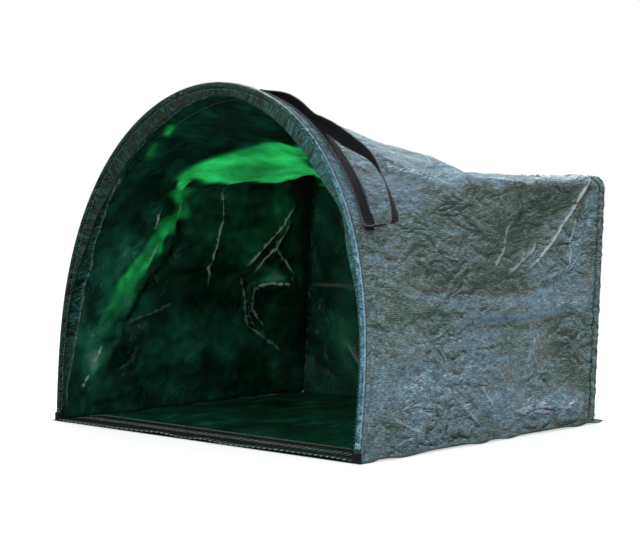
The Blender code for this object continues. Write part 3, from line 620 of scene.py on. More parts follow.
def add_cloth(name, points, flat_uv, thickness, materials, marks=None):
    """A sheet of real thickness over a grid of points. Its second material is the inner side's, and marks maps an
    attribute's name to its values on the outer and the inner side."""
    rows, columns = points.shape[:2]
    out = grid_out(points)
    front = (points + out * thickness / 2).reshape(-1, 3)
    rear = (points - out * thickness / 2).reshape(-1, 3)
    faces = sheet_faces(rows, columns)
    count = rows * columns
    index = np.arange(count).reshape(rows, columns)
    ring = np.concatenate([index[0, :-1], index[:-1, -1], index[-1, :0:-1], index[:0:-1, 0]])
    after = np.roll(ring, -1)
    rim = np.stack([ring, ring + count, after + count, after], axis=-1)
    shell = np.concatenate([faces[:, ::-1], faces + count, rim])
    mesh = bpy.data.meshes.new(name)
    mesh.from_pydata(np.concatenate([front, rear]).tolist(), [], shell.tolist())
    uv = np.concatenate([flat_uv.reshape(-1, 2)] * 2)
    layer = mesh.uv_layers.new(name="flat")
    corners = np.empty(len(mesh.loops), np.int32)
    mesh.loops.foreach_get("vertex_index", corners)
    layer.data.foreach_set("uv", uv[corners].astype(np.float32).ravel())
    marks = {"tint": (facing_painted_sky(out), facing_painted_sky(-out)), **(marks or {})}
    for mark, sides in marks.items():
        values = np.concatenate([side.ravel() for side in sides]).astype(np.float32)
        mesh.attributes.new(mark, "FLOAT", "POINT").data.foreach_set("value", values)
    slots = np.zeros(len(shell), np.int32)
    slots[len(faces) : 2 * len(faces)] = len(materials) - 1
    mesh.polygons.foreach_set("material_index", slots)
    smoothed = np.ones(len(shell), bool)
    smoothed[2 * len(faces) :] = False
    mesh.polygons.foreach_set("use_smooth", smoothed)
    mesh.update()
    return new_object(name, mesh, materials)


def facing(out, towards, *fields):
    """The fields of a grid, turned over if its faces don't look the way that they should."""
    return fields if np.sum(out * towards) > 0 else tuple(field[:, ::-1] for field in fields)


# Materials


def linear(colour):
    """Linear colour of an sRGB hex value."""
    channels = [int(colour[i : i + 2], 16) / 255 for i in (1, 3, 5)]
    return (*(c / 12.92 if c <= 0.04045 else ((c + 0.055) / 1.055) ** 2.4 for c in channels), 1.0)


def add(tree, kind, sockets=None, stops=(), **settings):
    """Adds a node. sockets maps its inputs to values, to outputs, or to nodes whose first output feeds them. stops are
    the places and colours of a ramp."""
    node = tree.nodes.new(kind)
    for key, value in settings.items():
        setattr(node, key, value)
    for key, value in (sockets or {}).items():
        if isinstance(value, bpy.types.Node):
            value = value.outputs[0]
        if isinstance(value, bpy.types.NodeSocket):
            tree.links.new(value, node.inputs[key])
        else:
            node.inputs[key].default_value = value
    for i, (place, colour) in enumerate(stops):
        elements = node.color_ramp.elements
        while len(elements) < len(stops):
            elements.new(0.5)
        elements[i].position = place
        elements[i].color = linear(colour)
    return node


def start_material(name):
    material = bpy.data.materials.new(name)
    material.use_nodes = True
    material.node_tree.nodes.clear()
    return material, material.node_tree


def weave_height(tree, vector, pitch, loose):
    """Over and under of flat tapes at a pitch in metres, with loose from 0 to 1 for uneven ones."""
    wander = add(tree, "ShaderNodeTexNoise", {"Vector": vector, "Scale": 60.0, "Detail": 2.0})
    reach = (loose * LOOSEST_TAPE,) * 3
    moved = add(tree, "ShaderNodeVectorMath", {0: wander.outputs["Color"], 1: reach}, operation="MULTIPLY")
    bent = add(tree, "ShaderNodeVectorMath", {0: vector, 1: moved}, operation="ADD")
    scaled = add(tree, "ShaderNodeVectorMath", {0: bent, "Scale": math.pi / pitch}, operation="SCALE")
    parts = add(tree, "ShaderNodeSeparateXYZ", {0: scaled})
    waves = []
    for axis in ("X", "Y"):
        wave = add(tree, "ShaderNodeMath", {0: parts.outputs[axis]}, operation="SINE")
        waves.append(add(tree, "ShaderNodeMath", {0: wave}, operation="ABSOLUTE"))
    squares = add(tree, "ShaderNodeVectorMath", {0: bent, "Scale": 1 / pitch}, operation="SCALE")
    check = add(tree, "ShaderNodeTexChecker", {"Vector": squares, "Scale": 1.0})
    return add(tree, "ShaderNodeMix", {"Factor": check.outputs["Fac"], 2: waves[0], 3: waves[1]})


def streaked(tree, vector, across, along_it, detail=2.0):
    """Noise with grains of two sizes in metres: across the tapes and along them."""
    scaled = add(tree, "ShaderNodeVectorMath", {0: vector, 1: (1 / across, 1 / along_it, 1.0)}, operation="MULTIPLY")
    return add(tree, "ShaderNodeTexNoise", {"Vector": scaled, "Scale": 1.0, "Detail": detail})


def crinkle(tree, vector, across, along_it, low, high):
    """Height of film that was crushed: a net of sharp ridges at two spacings in metres, stronger in some patches."""
    scaled = add(tree, "ShaderNodeVectorMath", {0: vector, 1: (1 / across, 1 / along_it, 1.0)}, operation="MULTIPLY")
    ridges = add(tree, "ShaderNodeTexNoise", {
        "Vector": scaled, "Scale": 1.0, "Detail": 3.0, "Roughness": 0.55, "Offset": 0.95, "Gain": 1.6,
        "Distortion": 0.5,
    }, noise_type="RIDGED_MULTIFRACTAL")
    patches = add(tree, "ShaderNodeTexNoise", {"Vector": vector, "Scale": 7.0, "Detail": 1.0})
    crushed = add(tree, "ShaderNodeMapRange", {"Value": patches, "From Min": 0.38, "From Max": 0.62,
                                              "To Min": low, "To Max": high})
    return add(tree, "ShaderNodeMath", {0: ridges, 1: crushed}, operation="MULTIPLY")


def whitened_and_glinting_creases(tree, colour, white, reach):
    """Colour with hard creases whitened in broken lines that reach some millimetres to both sides: partly stress
    whitening, partly painted highlights and glints.
    """
    crease = add(tree, "ShaderNodeAttribute", attribute_name="crease").outputs["Fac"]
    gap = add(tree, "ShaderNodeAttribute", attribute_name="gap").outputs["Fac"]
    off = add(tree, "ShaderNodeMath", {0: gap}, operation="ABSOLUTE")
    place = add(tree, "ShaderNodeUVMap", uv_map="flat")
    breaks = add(tree, "ShaderNodeTexNoise", {"Vector": place, "Scale": 70.0, "Detail": 1.0})
    worn = add(tree, "ShaderNodeMapRange", {"Value": breaks, "From Min": 0.38, "From Max": 0.62, "To Min": 0.4,
                                           "To Max": reach})
    line = add(tree, "ShaderNodeMapRange", {"Value": off, "From Min": 0.2, "From Max": worn, "To Min": 1.0,
                                           "To Max": 0.0})
    share = add(tree, "ShaderNodeMath", {0: line, 1: crease}, operation="MULTIPLY")
    return add(tree, "ShaderNodeMix", {"Factor": share, 6: colour, 7: linear(white)}, data_type="RGBA").outputs[2]


def bumped(tree, layers):
    """Normal with layers of (height, strength, distance) on one another."""
    normal = None
    for height, strength, distance in layers:
        sockets = {"Height": height, "Strength": strength, "Distance": distance}
        if normal is not None:
            sockets["Normal"] = normal
        normal = add(tree, "ShaderNodeBump", sockets)
    return normal


def lit_through(tree, shader, sockets):
    """Ends a material that lets light through where the painted glow mask is high, in the colour that sockets give."""
    through = add(tree, "ShaderNodeBsdfTranslucent", sockets)
    thin = add(tree, "ShaderNodeAttribute", attribute_name="thin").outputs["Fac"]
    mix = add(tree, "ShaderNodeMixShader", {0: thin, 1: shader, 2: through})
    add(tree, "ShaderNodeOutputMaterial", {"Surface": mix})


def outer_film(name, stops, tilt, gloss):
    """Outer side of the tarpaulin: flat tapes under a thin glossy film. stops are its colours from painted shade to a
    painted reflection of the sky.
    """
    settings = cloth_settings()
    material, tree = start_material(name)
    uv = add(tree, "ShaderNodeUVMap", uv_map="flat")
    weave = weave_height(tree, uv, settings.tape_pitch, 0.6)
    crush = add(tree, "ShaderNodeTexNoise", {"Vector": uv, "Scale": 75.0, "Detail": 4.0, "Roughness": 0.6})
    creased = crinkle(tree, uv, 0.030, 0.052, 0.30, 1.10)
    tapes = streaked(tree, uv, 0.0019, 0.0085)
    streaks = streaked(tree, uv, 0.0075, 0.024, 3.0)
    normal = bumped(tree, (
        (creased, 0.8, 0.0036), (crush, 0.35, 0.0050), (weave, 0.30, 0.0010), (tapes, 0.35, 0.0010)))
    bump_z = add(tree, "ShaderNodeSeparateXYZ", {0: normal}).outputs["Z"]
    plain_z = add(tree, "ShaderNodeSeparateXYZ", {0: add(tree, "ShaderNodeNewGeometry").outputs["Normal"]}).outputs["Z"]
    # The bumps move the colour along the ramp: painted sky reflection where they face up, painted shade where they face
    # down
    turned = add(tree, "ShaderNodeMath", {0: bump_z, 1: plain_z}, operation="SUBTRACT")
    tint = add(tree, "ShaderNodeAttribute", attribute_name="tint").outputs["Fac"]
    place = add(tree, "ShaderNodeMath", {0: turned, 1: tilt, 2: tint}, operation="MULTIPLY_ADD")
    spread = add(tree, "ShaderNodeMath", {0: tapes, 1: 0.36, 2: place}, operation="MULTIPLY_ADD")
    place = add(tree, "ShaderNodeMath", {0: spread, 1: 0.18}, operation="SUBTRACT")
    colour = add(tree, "ShaderNodeValToRGB", {"Fac": place}, stops)
    fleck = add(tree, "ShaderNodeMapRange", {"Value": tapes, "From Min": 0.35, "From Max": 0.68,
                                            "To Min": 0.52, "To Max": 1.72})
    patch = add(tree, "ShaderNodeMapRange", {"Value": streaks, "From Min": 0.34, "From Max": 0.68,
                                            "To Min": 0.66, "To Max": 1.50})
    lit = add(tree, "ShaderNodeMath", {0: fleck, 1: patch}, operation="MULTIPLY")
    tinted = add(tree, "ShaderNodeVectorMath", {0: colour, "Scale": lit}, operation="SCALE")
    # Pale blue-white crease lines: partly stress whitening, partly painted highlights
    whitened = whitened_and_glinting_creases(tree, tinted, "#c3d3de", 4.2)
    shine = add(tree, "ShaderNodeMapRange", {"Value": crush, "From Min": 0.3, "From Max": 0.7,
                                            "To Min": 0.26, "To Max": 0.46})
    shader = add(tree, "ShaderNodeBsdfPrincipled", {
        "Base Color": whitened, "Roughness": shine, "Normal": normal, "Specular IOR Level": gloss,
    })
    lit_through(tree, shader, {"Color": linear(settings.glow_colour_hex)})
    return material


def tarpaulin_outside():
    """Woven polyethylene tarpaulin, outer side. The blue of the sky is painted in as a reflection where a crease turns
    it upwards, and dark green as painted shade where it turns down, with a fleck on every tape."""
    return outer_film("woven_polyethylene_laminated_outside", (
        (0.00, cloth_settings().shade_colour_hex), (0.12, "#283d34"), (0.26, "#485a51"),
        (0.35, "#5e6e68"), (0.44, "#5d757d"), (0.53, "#577a8d"), (0.66, "#50757e"), (0.84, "#8fa5ae"),
        (1.00, "#cdd8d6")), 0.60, 0.40)


def tarpaulin_sleeve():
    """Woven polyethylene tarpaulin folded double round the rod, in deeper green as painted shade."""
    return outer_film("woven_polyethylene_laminated_folded", (
        (0.00, "#04120d"), (0.12, "#0e3125"), (0.30, "#22564a"), (0.50, "#417383"), (0.75, "#7e9fb0"),
        (1.00, "#c9d6d6")), 0.4, 0.18)


def tarpaulin_inside():
    """Woven polyethylene tarpaulin, inner side: dark smooth film with the weave under it, with painted light and shade
    in its colour. Hard creases are whitened, partly as stress whitening and partly as painted highlights, and it glows
    green where the painted glow mask lets light through."""
    settings = cloth_settings()
    material, tree = start_material("woven_polyethylene_laminated_inside")
    uv = add(tree, "ShaderNodeUVMap", uv_map="flat")
    weave = weave_height(tree, uv, settings.tape_pitch, 0.6)
    crush = add(tree, "ShaderNodeTexNoise", {"Vector": uv, "Scale": 60.0, "Detail": 4.0, "Roughness": 0.6})
    creased = crinkle(tree, uv, 0.048, 0.070, 0.25, 1.10)
    tapes = streaked(tree, uv, 0.0019, 0.0046)
    normal = bumped(tree, ((creased, 0.8, 0.0052), (crush, 0.4, 0.0050), (weave, 0.25, 0.0009), (tapes, 0.3, 0.0010)))
    patchy = add(tree, "ShaderNodeTexNoise", {"Vector": uv, "Scale": 11.0, "Detail": 4.0})
    tint = add(tree, "ShaderNodeAttribute", attribute_name="tint").outputs["Fac"]
    place = add(tree, "ShaderNodeMath", {0: patchy, 1: tint}, operation="ADD")
    place = add(tree, "ShaderNodeMath", {0: place, 1: 0.30}, operation="SUBTRACT")
    colour = add(tree, "ShaderNodeValToRGB", {"Fac": place}, (
        (0.05, "#03100c"), (0.34, "#0e3528"), (0.54, settings.inner_colour_hex), (0.72, "#2a7359"), (1.0, "#7fae9b")))
    # Creases whitened in pale green-white: partly stress whitening, partly painted highlights and glints
    shader = add(tree, "ShaderNodeBsdfPrincipled", {
        "Base Color": whitened_and_glinting_creases(tree, colour, "#e4efe9", 6.0), "Roughness": 0.22, "Normal": normal, "IOR": 1.5,
        "Specular IOR Level": 0.28,
    })
    streaks = streaked(tree, uv, 0.030, 0.075, 4.0)
    green = add(tree, "ShaderNodeValToRGB", {"Fac": streaks}, ((0.3, "#4bbd80"), (0.7, settings.glow_colour_hex)))
    lit_through(tree, shader, {"Color": green, "Normal": normal})
    return material


def webbing_material():
    """Woven polypropylene webbing: matt ribs across the strap and paler, worn edges."""
    material, tree = start_material("polypropylene_webbing_woven")
    uv = add(tree, "ShaderNodeUVMap", uv_map="flat")
    weave = weave_height(tree, uv, 0.0024, 0.3)
    parts = add(tree, "ShaderNodeSeparateXYZ", {0: uv})
    middle = add(tree, "ShaderNodeMath", {0: parts.outputs["Y"], 1: WEBBING_WIDTH / 2}, operation="SUBTRACT")
    off = add(tree, "ShaderNodeMath", {0: middle}, operation="ABSOLUTE")
    edge = add(tree, "ShaderNodeMapRange", {"Value": off, "From Min": WEBBING_WIDTH / 2 - 0.0028,
                                           "From Max": WEBBING_WIDTH / 2 - 0.0002})
    fluff = add(tree, "ShaderNodeTexNoise", {"Vector": uv, "Scale": 260.0, "Detail": 3.0})
    worn = add(tree, "ShaderNodeMath", {0: edge, 1: fluff}, operation="MULTIPLY")
    colour = add(tree, "ShaderNodeValToRGB", {"Fac": worn}, ((0.0, "#131116"), (0.28, "#1c1a20"), (0.52, "#74757b")))
    bump = add(tree, "ShaderNodeBump", {"Height": weave, "Strength": 0.7, "Distance": 0.0012})
    shader = add(tree, "ShaderNodeBsdfPrincipled", {
        "Base Color": colour, "Roughness": 0.78, "Normal": bump, "Sheen Weight": 0.03,
        "Sheen Roughness": 0.4, "Specular IOR Level": 0.2,
    })
    add(tree, "ShaderNodeOutputMaterial", {"Surface": shader})
    return material


def coarse_material():
    """Coarse woven polypropylene strip: black tapes whose tops are painted pale, as highlights, in flecks in slanting
    rows. The cells are drawn 12 mm by 40 mm, longer than real ones, so that they show at the low angle the strip is
    seen from."""
    material, tree = start_material("polypropylene_strip_coarse_woven")
    uv = add(tree, "ShaderNodeUVMap", uv_map="flat")
    waves = []
    for across, deep in ((0.0120, 0.040), (0.0120, -0.040)):
        spot = add(tree, "ShaderNodeVectorMath", {0: uv, 1: (math.pi / across, math.pi / deep, 0.0)},
                   operation="DOT_PRODUCT")
        waves.append(add(tree, "ShaderNodeMath", {0: spot.outputs["Value"]}, operation="SINE"))
    cells = add(tree, "ShaderNodeMath", {0: waves[0], 1: waves[1]}, operation="MULTIPLY")
    weave = add(tree, "ShaderNodeMath", {0: cells, 1: 0.0}, operation="MAXIMUM")
    fluff = add(tree, "ShaderNodeTexNoise", {"Vector": uv, "Scale": 150.0, "Detail": 3.0})
    tops = add(tree, "ShaderNodeMath", {0: weave, 1: fluff}, operation="MULTIPLY")
    colour = add(tree, "ShaderNodeValToRGB", {"Fac": tops}, ((0.10, "#0c0e0f"), (0.24, "#24282a"), (0.42, "#a9afaf")))
    bump = add(tree, "ShaderNodeBump", {"Height": weave, "Strength": 0.9, "Distance": 0.0022})
    shader = add(tree, "ShaderNodeBsdfPrincipled", {"Base Color": colour, "Roughness": 0.45, "Normal": bump})
    add(tree, "ShaderNodeOutputMaterial", {"Surface": shader})
    return material


def grained(name, scale, detail, colours, look, bump=None):
    """A material with a fine grain of two colours, and bump is the grain's strength and height where it can be felt."""
    material, tree = start_material(name)
    place = add(tree, "ShaderNodeTexCoord").outputs["Object"]
    grain = add(tree, "ShaderNodeTexNoise", {"Vector": place, "Scale": scale, "Detail": detail})
    colour = add(tree, "ShaderNodeValToRGB", {"Fac": grain}, tuple(zip((0.3, 0.7), colours)))
    if bump:
        look["Normal"] = add(tree, "ShaderNodeBump", {"Height": grain, "Strength": bump[0], "Distance": bump[1]})
    shader = add(tree, "ShaderNodeBsdfPrincipled", {"Base Color": colour, **look})
    add(tree, "ShaderNodeOutputMaterial", {"Surface": shader})
    return material


def thread_material():
    """Polyester sewing thread, twisted: grey-green with a soft sheen."""
    return grained("polyester_thread_twisted", 900.0, 1.0, ("#46524b", "#8a958d"),
                   {"Roughness": 0.55, "Sheen Weight": 0.3})


def rod_material():
    """Pultruded fibreglass rod: fine lines along it under a satin resin skin."""
    return grained("fibreglass_pultruded", 700.0, 2.0, ("#1c1f1d", "#3a3f3b"), {"Roughness": 0.34}, (0.2, 0.0004))


def cap_material():
    """Moulded polyethylene: black with a fine matt grain."""
    return grained("polyethylene_moulded", 1200.0, 2.0, ("#141516", "#232527"), {"Roughness": 0.5}, (0.25, 0.0003))


MATERIALS = {}
MAKERS = {
    "outside": tarpaulin_outside,
    "sleeve": tarpaulin_sleeve,
    "inside": tarpaulin_inside,
    "webbing": webbing_material,
    "coarse": coarse_material,
    "thread": thread_material,
    "rod": rod_material,
    "cap": cap_material,
}


def finish(name):
    """The material for a finish, made once."""
    if name not in MATERIALS:
        MATERIALS[name] = MAKERS[name]()
    return MATERIALS[name]


# Stitches by Geometry Nodes


def stitch_tree(material):
    """Stitches along an edge mesh: pitch, length and thickness are inputs of the tree."""
    tree = bpy.data.node_groups.new("stitch_run", "GeometryNodeTree")
    face = tree.interface
    face.new_socket("Geometry", in_out="INPUT", socket_type="NodeSocketGeometry")
    for name, value in (("Pitch", 0.005), ("Stitch length", 0.0034), ("Thread", 0.0008)):
        socket = face.new_socket(name, in_out="INPUT", socket_type="NodeSocketFloat")
        socket.default_value = value
        socket.subtype = "DISTANCE"
    face.new_socket("Geometry", in_out="OUTPUT", socket_type="NodeSocketGeometry")
    start = add(tree, "NodeGroupInput")
    curve = add(tree, "GeometryNodeMeshToCurve", {"Mesh": start.outputs["Geometry"]})
    spaced = add(tree, "GeometryNodeResampleCurve", {"Curve": curve, "Length": start.outputs["Pitch"]},
                 mode="LENGTH")
    tangent = add(tree, "GeometryNodeInputTangent")
    turned = add(tree, "FunctionNodeAlignRotationToVector", {"Vector": tangent}, axis="Z")
    grain = add(tree, "GeometryNodeMeshUVSphere", {"Segments": 6, "Rings": 4, "Radius": 0.5})
    size = add(tree, "ShaderNodeCombineXYZ", {
        "X": start.outputs["Thread"], "Y": start.outputs["Thread"], "Z": start.outputs["Stitch length"],
    })
    shaped = add(tree, "GeometryNodeTransform", {"Geometry": grain, "Scale": size})
    placed = add(tree, "GeometryNodeInstanceOnPoints", {
        "Points": spaced, "Instance": shaped, "Rotation": turned,
    })
    real = add(tree, "GeometryNodeRealizeInstances", {"Geometry": placed})
    dressed = add(tree, "GeometryNodeSetMaterial", {"Geometry": real, "Material": material})
    add(tree, "NodeGroupOutput", {0: dressed})
    return tree


def add_stitches(name, runs, pitch, length, thread):
    """One mesh of stitches along runs of points."""
    tree = bpy.data.node_groups.get("stitch_run") or stitch_tree(finish("thread"))
    points, edges = [], []
    for run in runs:
        first = len(points)
        points += [tuple(point) for point in run]
        edges += [(i, i + 1) for i in range(first, len(points) - 1)]
    guide = bpy.data.meshes.new(name + "_guide")
    guide.from_pydata(points, edges, [])
    helper = new_object(name + "_guide", guide, [])
    modifier = helper.modifiers.new("Stitches", "NODES")
    modifier.node_group = tree
    values = {"Pitch": pitch, "Stitch length": length, "Thread": thread}
    for item in tree.interface.items_tree:
        if item.in_out == "INPUT" and item.name in values:
            modifier[item.identifier] = values[item.name]
    graph = bpy.context.evaluated_depsgraph_get()
    mesh = bpy.data.meshes.new_from_object(helper.evaluated_get(graph))
    mesh.name = name
    helper.modifiers.clear()
    bpy.data.objects.remove(helper)
    for polygon in mesh.polygons:
        polygon.use_smooth = True
    if not mesh.polygons:
        raise RuntimeError(f"{name} has no stitches")
    return new_object(name, mesh, [])


def fold_with_hoop(thing):
    """Attaches the cloth behind the hoop to the hoop's body, on a mesh of its own."""
    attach(thing, "hoop")
    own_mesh(thing)


def area_of(points):
    across, down = np.diff(points, axis=1)[:-1], np.diff(points, axis=0)[:, :-1]
    return float(np.linalg.norm(np.cross(across, down), axis=-1).sum())


# Sizes and colours


class LeafBagCloth(bpy.types.PropertyGroup):
    """Sizes and colours of the tarpaulin"""

    thickness: bpy.props.FloatProperty(
        name="Cloth thickness", description="Thickness of the sheets", default=0.0007, min=0.0002, max=0.0015,
        subtype="DISTANCE", unit="LENGTH", precision=5)
    spacing: bpy.props.FloatProperty(
        name="Mesh spacing", description="Distance between points of the creased sheets", default=0.0046,
        min=0.003, max=0.02, subtype="DISTANCE", unit="LENGTH", precision=5)
    tape_pitch: bpy.props.FloatProperty(
        name="Tape pitch", description="Width of the woven tapes, drawn a little coarse so that it shows",
        default=0.0030, min=0.001, max=0.01, subtype="DISTANCE", unit="LENGTH", precision=5)
    shade_colour_hex: bpy.props.StringProperty(
        name="Shade colour", description="Outer side where it turns down, as an sRGB hex value", default="#12261e")
    inner_colour_hex: bpy.props.StringProperty(
        name="Inner colour", description="Inner side, as an sRGB hex value", default="#175342")
    glow_colour_hex: bpy.props.StringProperty(
        name="Glow colour", description="Light that comes through the sheet, as an sRGB hex value", default="#81ffb8")


class LeafBagStage(bpy.types.PropertyGroup):
    """Floor, light and camera"""

    floor_colour_hex: bpy.props.StringProperty(
        name="Floor colour", description="Pale floor, as an sRGB hex value", default="#f2f2f0")
    key_power: bpy.props.FloatProperty(
        name="Key light", description="Power of the large lamp over the roof", default=34.0, min=0.0, max=500.0,
        unit="POWER")
    fill_power: bpy.props.FloatProperty(
        name="Fill light", description="Power of the soft lamp beside the camera", default=14.0, min=0.0, max=500.0,
        unit="POWER")
    mouth_power: bpy.props.FloatProperty(
        name="Mouth light", description="Power of the small lamp that shines into the mouth", default=7.0, min=0.0,
        max=500.0, unit="POWER")


def cloth_settings():
    return bpy.context.scene.leaf_bag_cloth


def painted_glow_share(around, deep):
    """Painted glow: where light is let through the sheet, as pools of light on the roof near the back, a band down the
    left wall and two spots.
    """
    x, y = around * AROUND_LENGTH, deep * DEEP_LENGTH
    left_edge = LIT_ROOF_LEFT + 0.005 * slope_noise(x, y, 0.030, 22)
    roof = smooth((around - left_edge) / 0.014) * smooth((LIT_ROOF_RIGHT - around) / 0.12)
    corner, corner_deep = LIT_ROOF_FRONT[-1]
    front_edge = np.interp(around, *zip(*LIT_ROOF_FRONT))
    front_edge = np.where(around > corner, corner_deep + 0.6 * (around - corner), front_edge)
    roof = roof * smooth((deep - front_edge) / 0.05 + 0.4) * smooth((1.0 - deep) / 0.03)
    roof = roof * (1 - 0.75 * near_path(x, y, DIM_PATH, 0.016))
    band, _, along_band = path_distance(x, y, to_sheet(LIT_BAND))
    ragged = 0.019 * (1 + 0.9 * slope_noise(x, y / 1.4, 0.028, 23))
    wall = smooth(1.6 - 1.1 * band / np.maximum(ragged, 0.003)) * (1.05 - 0.85 * smooth((along_band - 0.62) / 0.34))
    wall = wall * (0.68 + 0.9 * np.abs(slope_noise(x, y, 0.030, 24)))
    spots = sum(share * near_path(x, y, path, reach) for share, reach, path in LIT_SPOTS)
    share = np.maximum(np.maximum(roof, 0.9 * wall), 0.85 * np.minimum(spots, 1.0))
    patch = 0.85 + 0.35 * slope_noise(x, y / 1.6, 0.060, 21)
    return np.clip(share * patch, 0.0, 1.0) * MOST_PAINTED_GLOW + LEAST_PAINTED_GLOW


class LEAFBAG_OT_sheet(bpy.types.Operator):
    """Make the sheet of the walls and the roof, in a band on the hoop and the rest behind it"""

    bl_idname = "leaf_bag.sheet"
    bl_label = "Walls and roof"

    # How far the sheet reaches past the mouth and past the back, as shares of its depth
    FRONT_END = -0.003
    REAR_END = 1.002
    BAND_ROWS = 16
    ALLOWANCE_STEPS = 3
    ALLOWANCE_DROP = 0.0011

    def execute(self, context):
        settings = cloth_settings()
        columns = int(AROUND_LENGTH / settings.spacing) + 1
        around = np.linspace(0.0, 1.0, columns)
        split = split_share(around)
        made = {}
        for name, low, high, rows in (
            ("wrap_front_band", np.full(columns, self.FRONT_END), split, self.BAND_ROWS),
            ("wrap_sheet", split, np.full(columns, self.REAR_END), int(0.9 * DEEP_LENGTH / settings.spacing) + 1),
        ):
            share = np.linspace(0.0, 1.0, rows)[:, None]
            deep = low + (high - low) * share
            wide = np.broadcast_to(around, deep.shape)
            white, gap = crease_share(wide, deep)[1:]
            points = wrap_skin(wide, deep)
            smooth_z = wrap_out(wide, deep)[..., 2]
            tint = painted_sky_share(wide, deep, np.abs(grid_out(points)[..., 2]) * np.sign(smooth_z), smooth_z)
            uv = np.stack([wide * AROUND_LENGTH, deep * DEEP_LENGTH], axis=-1)
            marked = (painted_glow_share(wide, deep), white, gap, tint, inner_painted_light(wide, deep))
            fields = self.with_seam_allowance(points, uv, *marked)
            fields = facing(grid_out(fields[0]), fields[0] - BAG_MIDDLE, *fields)
            points, uv, thin, white, gap, tint, shade = fields
            # Whitened creases, partly painted highlights: outside on the right, inside on the left where they stand for
            # glints
            outer = white * (uv[..., 0] > 0.5 * AROUND_LENGTH)
            inner = white * (uv[..., 0] < 0.5 * AROUND_LENGTH)
            marks = {
                "thin": (OUTER_PAINTED_GLOW * thin, thin), "crease": (outer, inner), "gap": (gap, gap), "tint": (tint, shade),
            }
            thing = add_cloth(name, points, uv, settings.thickness, [finish("outside"), finish("inside")], marks)
            made[name] = (thing, area_of(points))
        sheet, area = made["wrap_sheet"]
        band, band_area = made["wrap_front_band"]
        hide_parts("wrap_panel")
        fold_with_hoop(sheet)
        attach(band, "hoop")
        return {"FINISHED"}

    def with_seam_allowance(self, points, uv, *marks):
        """Adds the hems that turn out over the floor's seam at both sides."""
        fields = [points, uv, *marks]
        for end, side in ((0, -1.0), (-1, 1.0)):
            rise, reach = seam_wave(points[:, end, 1], side)
            added = [[] for _ in fields]
            for share in np.arange(1, self.ALLOWANCE_STEPS + 1) / self.ALLOWANCE_STEPS:
                strip = points[:, end].copy()
                strip[:, 0] += side * (SEAM_ALLOWANCE + reach) * share
                strip[:, 2] += rise * share
                strip[:, 2] -= self.ALLOWANCE_DROP * share
                flat = uv[:, end] + (side * SEAM_ALLOWANCE * share, 0.0)
                for column, value in zip(added, (strip, flat, *(mark[:, end] for mark in marks))):
                    column.append(value)
            for i, column in enumerate(added):
                new = np.stack(column[::-1] if end == 0 else column, axis=1)
                fields[i] = np.concatenate((new, fields[i]) if end == 0 else (fields[i], new), axis=1)
        return fields


